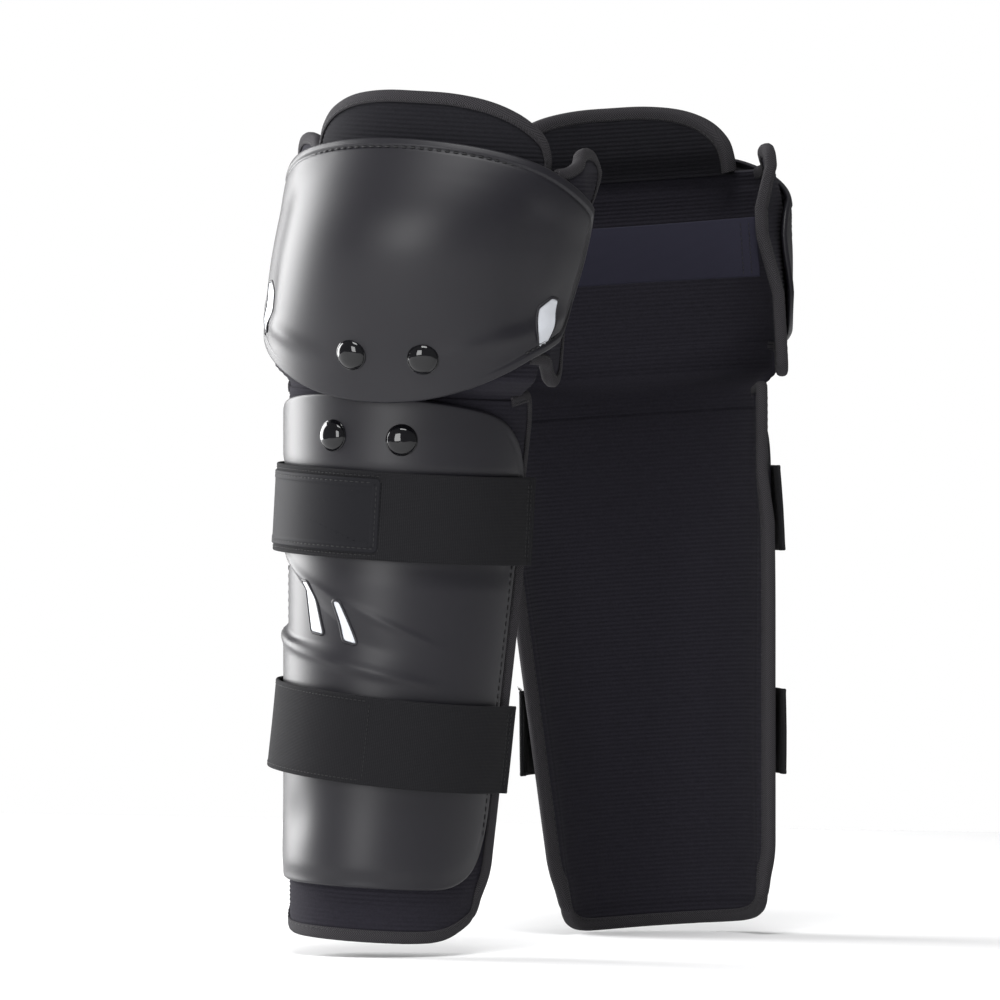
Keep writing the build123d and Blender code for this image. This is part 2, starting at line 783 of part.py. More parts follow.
def build(guard):
    parts = {
        "knee_cup": knee_cup(guard),
        "cup_inserts": cup_inserts(guard),
        "shin_shell": shin_shell(guard),
        "shin_inserts": shin_inserts(guard),
        "cup_rivets": rivets(guard, CUP_RIVET_Z, CUP_WALL),
        "shin_rivets": rivets(guard, SHIN_RIVET_Z, SHELL_WALL),
        "cup_washers": washers(guard, CUP_RIVET_Z, CUP_WALL),
        "shin_washers": washers(guard, SHIN_RIVET_Z, SHELL_WALL),
        "link_straps": link_straps(guard),
        "flex_panel": flex_panel(guard),
        "knee_cover": knee_layer(guard, 0, SKIN, BINDING),
        "knee_foam": knee_layer(guard, SKIN + PLY_GAP, FOAM, BINDING),
        "knee_lining": knee_layer(guard, LINER_WALL - SKIN, SKIN, BINDING),
        "knee_binding": knee_binding(guard),
        "shin_cover": shin_layer(guard, 0, SKIN, BINDING),
        "shin_foam": shin_layer(guard, SKIN + PLY_GAP, FOAM, BINDING),
        "shin_lining": shin_layer(guard, LINER_WALL - SKIN, SKIN, BINDING),
        "shin_binding": shin_binding(guard),
        "tongue": tongue_pad(guard, BINDING),
        "tongue_binding": tongue_binding(guard),
        "upper_strap": shin_strap(guard, UPPER_STRAP),
        "lower_strap": shin_strap(guard, LOWER_STRAP),
        "upper_hook": strap_patch(guard, UPPER_STRAP, STRAP_WALL, HOOK_WALL, HOOK_END_X, 46),
        "lower_hook": strap_patch(guard, LOWER_STRAP, STRAP_WALL, HOOK_WALL, HOOK_END_X, 46),
        "strap_badge": strap_patch(
            guard, UPPER_STRAP, -BADGE_WALL, BADGE_WALL, BADGE_END_X, BADGE_HEIGHT
        ),
        "knee_strap": knee_strap(guard),
    }
    return parts


os.makedirs("parts", exist_ok=True)
for guard in GUARDS:
    for name, part in build(guard).items():
        part.label = f"{guard.name}_{name}"
        export_step(part, f"parts/{part.label}.step")
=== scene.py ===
import math

import bpy
import numpy as np
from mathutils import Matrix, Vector


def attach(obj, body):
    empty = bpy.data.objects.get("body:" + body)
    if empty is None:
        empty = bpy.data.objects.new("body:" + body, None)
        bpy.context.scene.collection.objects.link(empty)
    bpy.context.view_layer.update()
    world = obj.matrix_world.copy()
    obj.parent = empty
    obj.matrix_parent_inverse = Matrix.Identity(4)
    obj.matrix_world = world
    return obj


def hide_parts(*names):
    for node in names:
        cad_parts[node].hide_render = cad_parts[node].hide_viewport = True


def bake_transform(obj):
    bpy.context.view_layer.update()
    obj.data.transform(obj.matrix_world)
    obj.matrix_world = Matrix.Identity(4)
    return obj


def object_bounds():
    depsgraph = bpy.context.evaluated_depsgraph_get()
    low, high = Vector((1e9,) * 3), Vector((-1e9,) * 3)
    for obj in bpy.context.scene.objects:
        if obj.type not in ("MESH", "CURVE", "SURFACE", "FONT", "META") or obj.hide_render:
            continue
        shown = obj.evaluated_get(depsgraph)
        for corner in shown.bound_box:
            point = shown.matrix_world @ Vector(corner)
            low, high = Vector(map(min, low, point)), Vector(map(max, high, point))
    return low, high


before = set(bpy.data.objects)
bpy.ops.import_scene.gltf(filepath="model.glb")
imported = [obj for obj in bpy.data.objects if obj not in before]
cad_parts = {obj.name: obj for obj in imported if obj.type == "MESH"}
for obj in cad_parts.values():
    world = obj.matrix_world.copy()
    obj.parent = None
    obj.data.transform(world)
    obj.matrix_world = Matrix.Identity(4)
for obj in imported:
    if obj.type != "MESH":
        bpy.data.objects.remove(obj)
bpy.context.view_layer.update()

# Two knee and shin guards. Lengths are in millimetres in each guard's own upright frame, as in
# the part: x to the wearer's left, y to the back, z up from the liner's bottom hem. Guard.row
# turns them into metres in the row frame.

HINGE_Z = 312.0
HINGE_Y = -70.0
# height and sideways offset of the right guard's knee section from its shin
KNEE_SHIFT = np.array([(304, 6), (331, 7), (360, 9.5), (396, 16), (420, 20), (454, 23)], float)
CUP_RIVET_Z = 331.0
CUP_RIVET_DRIFT = 10.0
SHIN_RIVET_Z = 284.0
RIVET_X = 21.0
CUP_WALL = 3.0
SHELL_WALL = 2.6
LINER_WALL = 5.0
CUP_CENTRE_Y = -20.0
# height, half width and depth in front of the centre line
CUP_STATIONS = np.array(
    [(304, 82, 56), (331, 86.5, 63), (360, 89, 70.5), (396, 91, 77), (420, 90.5, 75),
     (436, 88, 70), (454, 81, 62)], float)
# the shin shell: its foot and height, and its half width and depth at the foot
SHELL_FOOT = 30
SHELL_HEIGHT = 278
SHELL_HALF, SHELL_WIDENS = 58.0, 16.5
SHELL_DEPTH, SHELL_DEEPENS = 62.0, 4
# the knee liner's wings: half width at the rear, how far they toe in, flare at the top and ease
WING_HALF = 83.6
WING_TOE_IN = 13
WING_FLARE = 9
WING_EASE = 8
CUP_SIDE = CUP_WALL + 0.4
CUP_FRONT = CUP_WALL + 4.4
RIB_PITCH = 2.5
RIB_STEP = RIB_PITCH / 4
STRAP_WALL = 1.8
STRAP_CLEAR = 1.5
# bottom height, width, slant in degrees, slack in front
UPPER_STRAP = (215.5, 50.0, 0.0, 0.0)
LOWER_STRAP = (89.5, 50.0, 3.3, 5.0)
KNEE_STRAP_Z = 376.0
KNEE_STRAP_HEIGHT = 35.0
KNEE_STRAP_Y = 8.0
KNEE_STRAP_BOW = 4.0
KNEE_STRAP_CLEAR = 2.6
SIDES = ((-1, "low"), (1, "high"))


# ---- small maths ----
def smooth(x, low, high):
    t = np.clip((x - low) / (high - low), 0, 1)
    return t * t * (3 - 2 * t)


def bump(x, middle, width):
    return np.exp(-(((x - middle) / width) ** 2))


def through(x, xs, ys):
    """A smooth curve through stations, at x."""
    slope = np.gradient(ys, xs)
    i = np.clip(np.searchsorted(xs, x) - 1, 0, len(xs) - 2)
    step = xs[i + 1] - xs[i]
    t = np.clip((x - xs[i]) / step, -0.3, 1.3)
    return (
        (2 * t**3 - 3 * t**2 + 1) * ys[i] + (t**3 - 2 * t**2 + t) * step * slope[i]
        + (3 * t**2 - 2 * t**3) * ys[i + 1] + (t**3 - t**2) * step * slope[i + 1]
    )


def evenly(points, count, closed=False, straight=False):
    """A smooth or straight line through the points, as count evenly spaced ones."""
    p = np.asarray(points, float)
    if straight:
        line = np.vstack([p, p[:1]]) if closed else p
        return spaced(line, count, closed)
    if closed:
        p = np.vstack([p[-1], p, p[0], p[1]])
    else:
        p = np.vstack([2 * p[0] - p[1], p, 2 * p[-1] - p[-2]])
    t = np.linspace(0, 1, 24, endpoint=False)[:, None]
    rows = []
    for a, b, c, d in zip(p, p[1:], p[2:], p[3:]):
        rows.append(
            0.5 * (2 * b + (c - a) * t + (2 * a - 5 * b + 4 * c - d) * t**2
                   + (3 * b - a - 3 * c + d) * t**3)
        )
    return spaced(np.vstack([*rows, p[-2]]), count, closed)


def run_of(line):
    """The length along a line up to each of its points."""
    return np.concatenate([[0], np.cumsum(np.linalg.norm(np.diff(line, axis=0), axis=1))])


def crowded(first, count, bend):
    """Shares from first to 1, closer together towards the edge."""
    return np.sin(np.linspace(first, 1, count) * math.pi / 2 * bend) / math.sin(math.pi / 2 * bend)


def spaced(line, count, closed):
    run = run_of(line)
    at = np.linspace(0, run[-1], count, endpoint=not closed)
    return np.column_stack([np.interp(at, run, line[:, k]) for k in range(line.shape[1])])


def tangents(line, closed=False):
    if closed:
        t = np.roll(line, -1, axis=0) - np.roll(line, 1, axis=0)
    else:
        t = np.gradient(line, axis=0)
    return t / np.linalg.norm(t, axis=1, keepdims=True)


# ---- the two guards ----
class Guard:
    def __init__(self, name, side, spread, sags, lean, turn, place):
        self.name = name
        self.side = side
        self.spread = spread
        self.sags = sags
        tilt = math.radians(lean)
        level = np.array([math.cos(math.radians(turn)), math.sin(math.radians(turn)), 0])
        upright = np.array([0, 0, 1.0])
        self.up = level * side * math.sin(tilt) + upright * math.cos(tilt)
        self.across = level * math.cos(tilt) - upright * side * math.sin(tilt)
        self.back = np.cross(self.up, self.across)
        self.origin = np.array(place, float) - self.up * HINGE_Z

    def row(self, local):
        axes = np.array([self.across, self.back, self.up])
        return (self.origin + np.asarray(local, float).reshape(-1, 3) @ axes) / 1000

    def knee_x(self, z):
        shift = through(np.asarray(z, float), KNEE_SHIFT[:, 0], KNEE_SHIFT[:, 1])
        return self.sags * self.side * shift

    def cup_rivet_x(self, sign):
        return self.knee_x(CUP_RIVET_Z) + self.sags * CUP_RIVET_DRIFT + sign * RIVET_X


RIGHT = Guard("right", 1, 1.0, 1.0, 3.3, 0.0, (0, 0, 0))
LEFT = Guard("left", -1, 1.10, 0.0, -3.8, 202.0, (43, 230, -6))


# ---- walls: half an ellipse round the front, then straight sides to the rear ----
# Each size function gives half width, depth, centre x and y, the x of both rear edges, rear y.
def shell_width(z):
    return SHELL_HALF + (z - SHELL_FOOT) / SHELL_HEIGHT * SHELL_WIDENS


def shell_depth(z):
    return SHELL_DEPTH + (z - SHELL_FOOT) / SHELL_HEIGHT * SHELL_DEEPENS


def shell_size(guard, z):
    w = shell_width(z) * guard.spread
    return w, shell_depth(z), 0 * z, 0 * z, -w, w, 1 + 0 * z


def shin_liner_size(guard, z):
    w = shell_width(z) * guard.spread - SHELL_WALL - 0.4
    rear = w + 5 * (1 - np.clip((z - 232) / 30, 0, 1))
    return w, shell_depth(z) - SHELL_WALL - 4.4, 0 * z, 0 * z, -rear, rear, 7 + 0 * z


def wing_edges(guard, z, cx, width, rear_y, inset):
    share = (rear_y - CUP_CENTRE_Y) / 37
    flare = WING_FLARE * np.clip((z - 415) / 25, 0, 1)
    ease = WING_EASE * np.clip((z - 365) / 35, 0, 1)
    wide = WING_HALF * guard.spread - ease + CUP_SIDE - inset
    ends = []
    for sign in (-1, 1):
        side_x = cx + sign * width
        rear_x = sign * (np.maximum(wide, np.abs(side_x) - WING_TOE_IN) + flare)
        ends.append(side_x + share * (rear_x - side_x))
    return ends


def knee_size(guard, z, side, front, rear_y):
    cx = guard.knee_x(z)
    w = through(z, CUP_STATIONS[:, 0], CUP_STATIONS[:, 1]) * guard.spread - side
    d = through(z, CUP_STATIONS[:, 0], CUP_STATIONS[:, 2]) - front
    low, high = wing_edges(guard, z, cx, w, rear_y, side)
    return w, d, cx, CUP_CENTRE_Y + 0 * z, low, high, rear_y + 0 * z


def cup_size(guard, z):
    return knee_size(guard, z, 0, 0, -2.0)


def knee_liner_size(guard, z):
    return knee_size(guard, z, CUP_SIDE, CUP_FRONT, 17.0)


def tongue_size(guard, z):
    share = (z - 430) / 56
    w = (76 - 5 * share) * guard.spread
    cx = guard.knee_x(440.0) + 0 * z
    return w, 58 - 9 * share, cx, CUP_CENTRE_Y + 0 * z, cx - w, cx + w, CUP_CENTRE_Y + 1 + 0 * z


def strap_size(strap):
    """The outer face of a shin strap, in the strap's own slanted frame."""
    z0, height, slant, slack = strap

    def size(guard, z):
        lean = math.sin(math.radians(slant))
        top = z0 + height + guard.spread * shell_width(z0) * lean
        stand = STRAP_CLEAR + STRAP_WALL
        w = shell_width(top) * guard.spread + lean * height / 2 + stand
        d = shell_depth(top) + slack + stand
        return w + 0 * z, d + 0 * z, 0 * z, 0 * z, -w - 2 + 0 * z, w + 2 + 0 * z, 3 + 0 * z

    return size


def quarter_of(width, depth):
    """About a quarter of the way round an ellipse."""
    return math.pi / 2 * np.sqrt((width * width + depth * depth) / 2)


class Wall:
    """Points on a bent wall by a, the length round it from its front middle, and z."""

    def __init__(self, guard, size, base=(0, 0, 0), slant=0.0):
        self.guard = guard
        self.size = size
        turn = math.radians(slant) * guard.side
        self.base = np.array(base, float)
        self.axes = np.array(
            [(math.cos(turn), 0, -math.sin(turn)), (0, 1, 0), (math.sin(turn), 0, math.cos(turn))]
        )

    def quarter(self, z):
        return quarter_of(*self.size(self.guard, np.asarray(z, float))[:2])

    def side_run(self, z, sign):
        w, _, cx, cy, low, high, rear = self.size(self.guard, np.asarray(z, float))
        return np.hypot(np.where(sign < 0, low, high) - cx - sign * w, rear - cy)

    def length(self, c, z):
        """a from a share c: 0 to 1 round the front quarter, 1 to 2 along the straight side."""
        sign = np.where(c < 0, -1.0, 1.0)
        size = np.abs(c)
        return sign * (
            np.minimum(size, 1) * self.quarter(z)
            + np.maximum(size - 1, 0) * self.side_run(z, sign)
        )

    def by_x(self, x, z):
        w, _, cx = self.size(self.guard, np.asarray(z, float))[:3]
        return np.arcsin(np.clip((x - cx) / w, -1, 1)) / (math.pi / 2) * self.quarter(z)

    def point(self, a, z):
        a, z = np.broadcast_arrays(np.asarray(a, float), np.asarray(z, float))
        w, d, cx, cy, low, high, rear = self.size(self.guard, z)
        quarter = quarter_of(w, d)
        sign = np.where(a < 0, -1.0, 1.0)
        t = np.clip(a / quarter, -1, 1) * math.pi / 2
        run_x = np.where(a < 0, low, high) - cx - sign * w
        run_y = rear - cy
        extra = np.maximum(np.abs(a) - quarter, 0) / np.hypot(run_x, run_y)
        x = cx + w * np.sin(t) + run_x * extra
        y = cy - d * np.cos(t) + run_y * extra
        return self.base + np.stack([x, y, z], axis=-1) @ self.axes

    def normal(self, a, z):
        along = self.point(a + 1.5, z) - self.point(a - 1.5, z)
        upward = self.point(a, z + 1.5) - self.point(a, z - 1.5)
        n = np.cross(along, upward)
        return n / np.linalg.norm(n, axis=-1, keepdims=True)

    def at(self, a, z, lift):
        a, z, lift = np.broadcast_arrays(
            np.asarray(a, float), np.asarray(z, float), np.asarray(lift, float)
        )
        return self.point(a, z) + self.normal(a, z) * lift[..., None]


def weave_grid(rows, columns, closed=False, start=0):
    faces = []
    last = columns if closed else columns - 1
    for i in range(rows - 1):
        for j in range(last):
            k = (j + 1) % columns
            faces.append(
                (start + i * columns + j, start + i * columns + k,
                 start + (i + 1) * columns + k, start + (i + 1) * columns + j)
            )
    return faces


def piece(name, points, faces, material, body, uvs=None, flip=False):
    """A smooth mesh object from row-frame points in metres, riding on a body."""
    mesh = bpy.data.meshes.new(name)
    if flip:
        faces = [face[::-1] for face in faces]
    mesh.from_pydata(np.asarray(points).tolist(), [], faces)
    if uvs is not None:
        layer = mesh.uv_layers.new(name="UVMap")
        index = np.empty(len(mesh.loops), int)
        mesh.loops.foreach_get("vertex_index", index)
        layer.data.foreach_set("uv", np.asarray(uvs, np.float32)[index].ravel())
    mesh.polygons.foreach_set("use_smooth", [True] * len(mesh.polygons))
    mesh.validate()
    mesh.update()
    mesh.materials.append(MATERIALS[material])
    obj = bpy.data.objects.new(name, mesh)
    bpy.context.scene.collection.objects.link(obj)
    if body:
        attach(obj, body)
    return obj


def outline_loop(wall, half, count):
    """A closed outline from its half, (share c, z) from the top middle to the bottom middle."""
    right = [(wall.length(c, z), z) for c, z in half]
    left = [(wall.length(-c, z), z) for c, z in reversed(half[1:-1])]
    return evenly([*right, *left], count, closed=True)


def inward(line, closed=False):
    t = tangents(line, closed)
    return np.column_stack([t[:, 1], -t[:, 0]])


def plate(wall, loop, thickness, lift, rim, core_rings=44):
    """A plate of even thickness over an outline. lift(a, z, d) is its outer face's height, d in
    from the edge; rim is the distances in from the edge of the rings that the lip needs."""
    n = inward(loop, closed=True)
    middle = loop.mean(axis=0)
    edge = rim[-1]
    inner = loop + n * edge
    rings = []
    for d in rim:
        rings.append((loop + n * d, np.full(len(loop), d)))
    for f in np.linspace(1, 0, core_rings + 1)[1:-1]:
        rings.append((middle + (inner - middle) * f, np.full(len(loop), edge + 60 * (1 - f))))
    outer = [wall.at(p[:, 0], p[:, 1], lift(p[:, 0], p[:, 1], d)) for p, d in rings]
    inner_rings = rings[1:8] + rings[8::3]
    inside = [
        wall.at(p[:, 0], p[:, 1], lift(p[:, 0], p[:, 1], d) - thickness) for p, d in inner_rings
    ]
    rows = [*inside[::-1], *outer]
    count = len(loop)
    points = np.vstack(rows)
    faces = weave_grid(len(rows), count, closed=True)
    for row, ring in ((rings[-1], outer), (inner_rings[-1], inside)):
        height = lift(middle[:1], middle[1:], np.array([99.0]))
        if ring is inside:
            height = height - thickness
        points = np.vstack([points, wall.at(middle[:1], middle[1:], height)])
    first, last = len(points) - 1, len(points) - 2
    base = (len(rows) - 1) * count
    for j in range(count):
        k = (j + 1) % count
        faces.append((first, k, j))
        faces.append((last, base + j, base + k))
    flat = np.vstack([*[p for p, _ in inner_rings[::-1]], *[p for p, _ in rings], middle, middle])
    return points, faces, flat / 1000


def tube_faces(rows, count, closed=False):
    """Faces of a closed profile run along a line, joined to itself or capped at both ends."""
    faces = weave_grid(rows, count, closed=True)
    last = (rows - 1) * count
    if closed:
        return faces + [(last + j, last + (j + 1) % count, (j + 1) % count, j) for j in range(count)]
    return [*faces, tuple(range(count))[::-1], tuple(last + j for j in range(count))]


def strip(wall, line, profile, closed=False, rise=lambda a, z: 0.0):
    """A tape or frame run along a line on a wall. profile is (distance in, lift), a closed loop;
    rise(a, z) is the height it lies on."""
    n = inward(line, closed)
    columns = []
    for d, h in profile:
        a, z = (line + n * d).T
        columns.append(wall.at(a, z, rise(a, z) + h))
    points = np.stack(columns, axis=1).reshape(-1, 3)
    uvs = np.stack(np.meshgrid(run_of(line), run_of(profile), indexing="ij"), axis=-1)
    return points, tube_faces(len(line), len(profile), closed), uvs.reshape(-1, 2) / 1000


def beads(centres, along, normal, length, radius):
    """Stitches: small rounded lengths of thread lying on a surface."""
    turns = np.linspace(0, 2 * math.pi, 6, endpoint=False)
    rings = [(-1.0, 0.05), (-0.75, 0.75), (0.0, 1.0), (0.75, 0.75), (1.0, 0.05)]
    template = np.array(
        [(s, r * math.cos(t), r * math.sin(t)) for s, r in rings for t in turns]
    ) * (length / 2, radius, radius)
    across = np.cross(normal, along)
    frames = np.stack([along, across, normal], axis=1)
    points = centres[:, None, :] + np.einsum("vk,nkj->nvj", template, frames)
    one = weave_grid(len(rings), len(turns), closed=True)
    faces = [
        tuple(i * len(template) + v for v in face) for i in range(len(centres)) for face in one
    ]
    return points.reshape(-1, 3), faces


def seam(name, wall, line, lift, body, spacing, length, radius):
    """A row of stitches along a line of (a, z) on a wall."""
    path = evenly(line, 600)
    run = run_of(path)
    at = np.arange(spacing, run[-1] - spacing / 2, spacing)
    spots = np.column_stack([np.interp(at, run, path[:, k]) for k in (0, 1)])
    ahead = np.column_stack([np.interp(at + 0.5, run, path[:, k]) for k in (0, 1)])
    here = wall.at(spots[:, 0], spots[:, 1], lift)
    step = wall.at(ahead[:, 0], ahead[:, 1], lift) - here
    along = step / np.linalg.norm(step, axis=1, keepdims=True)
    normal = wall.normal(spots[:, 0], spots[:, 1])
    points, faces = beads(here, along, normal, length, radius)
    return piece(name, wall.guard.row(points), faces, "thread", body)


# ---- materials ----
def principled(name, color, roughness, **inputs):
    material = bpy.data.materials.new(name)
    material.use_nodes = True
    shader = material.node_tree.nodes["Principled BSDF"]
    shader.inputs["Base Color"].default_value = (*color, 1)
    shader.inputs["Roughness"].default_value = roughness
    for key, value in inputs.items():
        shader.inputs[key.replace("_", " ")].default_value = value
    return material


def node(material, kind, **settings):
    made = material.node_tree.nodes.new(kind)
    for key, value in settings.items():
        setattr(made, key, value)
    return made


def maths(material, operation, first, second=None):
    made = node(material, "ShaderNodeMath", operation=operation)
    for slot, value in ((0, first), (1, second)):
        if isinstance(value, (int, float)):
            made.inputs[slot].default_value = value
        elif value is not None:
            material.node_tree.links.new(value, made.inputs[slot])
    return made.outputs[0]


def relief(material, height, strength, distance):
    """Bump from a height, on the shader's normal."""
    links = material.node_tree.links
    made = node(material, "ShaderNodeBump")
    made.inputs["Strength"].default_value = strength
    made.inputs["Distance"].default_value = distance
    links.new(height, made.inputs["Height"])
    links.new(made.outputs[0], material.node_tree.nodes["Principled BSDF"].inputs["Normal"])


def grain(material, scale, detail=2.0):
    links = material.node_tree.links
    place = node(material, "ShaderNodeTexCoord")
    noise = node(material, "ShaderNodeTexNoise")
    noise.inputs["Scale"].default_value = scale
    noise.inputs["Detail"].default_value = detail
    links.new(place.outputs["Object"], noise.inputs["Vector"])
    return noise.outputs["Fac"]


def tint(material, factor, dark, light):
    links = material.node_tree.links
    ramp = node(material, "ShaderNodeMix", data_type="RGBA")
    ramp.inputs["A"].default_value = (*dark, 1)
    ramp.inputs["B"].default_value = (*light, 1)
    links.new(factor, ramp.inputs["Factor"])
    shader = material.node_tree.nodes["Principled BSDF"]
    links.new(ramp.outputs["Result"], shader.inputs["Base Color"])


def uv_parts(material):
    links = material.node_tree.links
    place = node(material, "ShaderNodeUVMap", uv_map="UVMap")
    parts = node(material, "ShaderNodeSeparateXYZ")
    links.new(place.outputs[0], parts.inputs[0])
    return parts.outputs["X"], parts.outputs["Y"]


def wave(material, value, pitch):
    """0 to 1 to 0 over each pitch."""
    turned = maths(material, "MULTIPLY", value, 2 * math.pi / pitch)
    return maths(material, "MULTIPLY_ADD", maths(material, "SINE", turned), 0.5)


def fabric(name, dark, light, scale=900, strength=0.35):
    """A brushed fabric, mottled by its fuzz."""
    material = principled(
        name, light, 0.95, Sheen_Weight=0.02, Sheen_Roughness=0.5, Specular_IOR_Level=0.06
    )
    fuzz = grain(material, scale, 3.0)
    tint(material, fuzz, dark, light)
    relief(material, fuzz, strength, 0.0004)
    return material


def woven(name, dark, light, pattern):
    """A fabric whose weave is worked out from its UVs, which are in metres."""
    material = principled(
        name, light, 0.85, Sheen_Weight=0.02, Sheen_Roughness=0.4, Specular_IOR_Level=0.08
    )
    height = pattern(material, *uv_parts(material))
    tint(material, height, dark, light)
    relief(material, height, 0.6, 0.0003)
    return material


def herringbone(material, u, v):
    chevron = maths(material, "PINGPONG", v, 0.0028)
    return wave(material, maths(material, "ADD", u, chevron), 0.0013)


def plain_weave(material, u, v, warp, weft):
    return maths(material, "MULTIPLY", wave(material, u, warp), wave(material, v, weft))


def elastic_weave(material, u, v):
    return plain_weave(material, u, v, 0.0011, 0.0008)


def fine_knit(material, u, v):
    return plain_weave(material, u, v, 0.0006, 0.0005)


def build_materials():
    """All materials by name. Colours are linear, and every black is a little violet."""
    made = {}
    plastic = principled("shell_plastic", (0.0085, 0.0080, 0.0112), 0.45, Specular_IOR_Level=0.34)
    relief(plastic, grain(plastic, 1400, 2.0), 0.12, 0.0002)
    made["shell_plastic"] = plastic
    made["reflector"] = principled("reflector", (0.60, 0.62, 0.66), 0.38)
    made["rivet_cap"] = principled("rivet_cap", (0.004, 0.004, 0.005), 0.05, Specular_IOR_Level=0.4)
    made["washer_steel"] = principled("washer_steel", (0.45, 0.45, 0.46), 0.32, Metallic=1.0)
    made["webbing"] = woven("webbing", (0.009, 0.009, 0.010), (0.021, 0.0205, 0.023), elastic_weave)
    made["ribbed_lining"] = fabric("ribbed_lining", (0.010, 0.0095, 0.0125), (0.024, 0.0225, 0.030))
    made["tongue_fabric"] = fabric("tongue_fabric", (0.007, 0.007, 0.0085), (0.017, 0.0165, 0.020))
    made["binding_tape"] = woven(
        "binding_tape", (0.008, 0.008, 0.009), (0.055, 0.052, 0.057), herringbone
    )
    made["elastic"] = woven("elastic", (0.008, 0.008, 0.009), (0.024, 0.0235, 0.026), elastic_weave)
    made["smooth_elastic"] = woven(
        "smooth_elastic", (0.018, 0.0175, 0.027), (0.036, 0.035, 0.056), fine_knit
    )
    made["hook_tape"] = fabric(
        "hook_tape", (0.002, 0.002, 0.002), (0.012, 0.012, 0.012), scale=1500, strength=0.9
    )
    made["badge_rubber"] = principled(
        "badge_rubber", (0.008, 0.008, 0.010), 0.7, Specular_IOR_Level=0.12
    )
    made["thread"] = principled("thread", (0.006, 0.006, 0.007), 0.7)
    return made


MATERIALS = build_materials()


# ---- hard shells ----
CUP_OUTLINE = [
    (0, 454), (0.24, 452.6), (0.46, 448.6), (0.66, 441), (0.84, 431), (1.1, 420), (1.7, 409),
    (2, 392), (2, 372), (1.86, 357), (1.3, 346), (0.92, 339.5), (0.78, 333), (0.63, 324),
    (0.46, 315), (0.28, 308), (0.12, 304.8), (0, 304.2),
]
PLATE_OUTLINE = [
    (0, 308), (0.25, 307.3), (0.5, 304.3), (0.68, 300), (0.83, 291), (0.94, 277), (1, 258),
    (1, 220), (1, 180), (1, 140), (1, 100), (1, 72), (0.95, 52), (0.85, 38.5), (0.68, 31.2),
    (0.45, 30), (0.2, 30), (0, 30),
]
LIP_RIM = (0, 0.25, 0.8, 1.6, 2.6, 3.4, 4.0, 4.5, 5.0, 5.6, 6.2, 7.0, 8.2, 9.6, 11.5)
PLAIN_RIM = (0, 0.25, 0.7, 1.4, 2.4, 3.6, 4.8, 6.0, 8.0, 10.0)
STITCH_INSET = 5.2
# stitch spacing, length and thread radius
SHELL_STITCH = (4.6, 3.0, 0.5)
CUP_STITCH = (4.6, 3.1, 0.5)
TAPE_STITCH = (4.2, 2.7, 0.3)
BADGE_STITCH = (3.2, 2.2, 0.32)
HOOK_STITCH = (2.6, 1.8, 0.24)
HEM_STITCH = (2.6, 1.8, 0.26)
CUP_WINDOW_Z = 354.0
# how far round the front quarter the outer and inner windows of a cup sit, in degrees
CUP_WINDOW_TURNS = (76, 64)
CUP_WINDOW = ((3, 14), (9.5, 13), (8, 2), (1.5, -14), (-6, -13.4), (-8.5, -5), (-7, 8))
# each shin window's middle x and z, and its corners from there
SHIN_WINDOWS = (
    (-33, 186, ((-7.7, 14), (-1.3, 14), (9.5, -14.5), (-0.5, -13.5))),
    (-9, 179, ((-6.4, 11.5), (-2.4, 11.5), (8.4, -11.5), (0.4, -10))),
)
WINDOW_FRAME = [(-1.5, -0.4), (-1.45, 0.3), (-1.0, 0.62), (-0.5, 0.7), (-0.1, 0.6), (0.05, 0.2),
                (0.05, -0.4)]


# how far the cup's and the shin shell's moulded shapes rise or sink
CUP_DOME = 3.9
CUP_FLANGE = 1.9
CUP_VALLEY = 1.9
CUP_FLARE = 1.5
CUP_POCKET = 1.0
CREASE_DEPTH = 3.0
CREASE_CREST = 0.8
STRAP_STEP = 1.1
FOOT_FLARE = 1.6
FOOT_DENT = 1.3


def cup_relief(guard):
    """The cup's own shape: a raised dome, a turned-out flange and a stitched lip."""

    def lift(a, z, d):
        s = guard.side * a
        reach = np.abs(a)
        dome = CUP_DOME * np.exp(-((reach / 66) ** 3.4) - (np.abs(z - 380) / 41) ** 3.2)
        flange = CUP_FLANGE * bump(z, 324 + 0.25 * reach, 6) * smooth(reach, 22, 58)
        valley = bump(reach, 84, 14) * smooth(z, 337, 354) * (1 - smooth(z, 408, 432))
        flare = CUP_FLARE * (1 - smooth(d, 5, 22)) * smooth(z, 344, 372) * smooth(reach, 44, 80)
        beside = np.where(s > 0, 105.0, 86.0)
        pocket = np.exp(-(((np.abs(s) - beside) / 13) ** 4) - ((z - CUP_WINDOW_Z) / 19) ** 4)
        sunk = CUP_VALLEY * valley + CUP_POCKET * pocket
        inside = smooth(d, 7, 22)
        rounded = -1.2 * (1 - smooth(d, 0, 0.9))
        strength = smooth(z, 318, 345)
        lip = strength * (0.9 * (1 - smooth(d, 3.8, 4.8)) - 0.55 * bump(d, STITCH_INSET, 0.55))
        return rounded + lip + flare + (dome + flange - sunk) * inside

    return lift


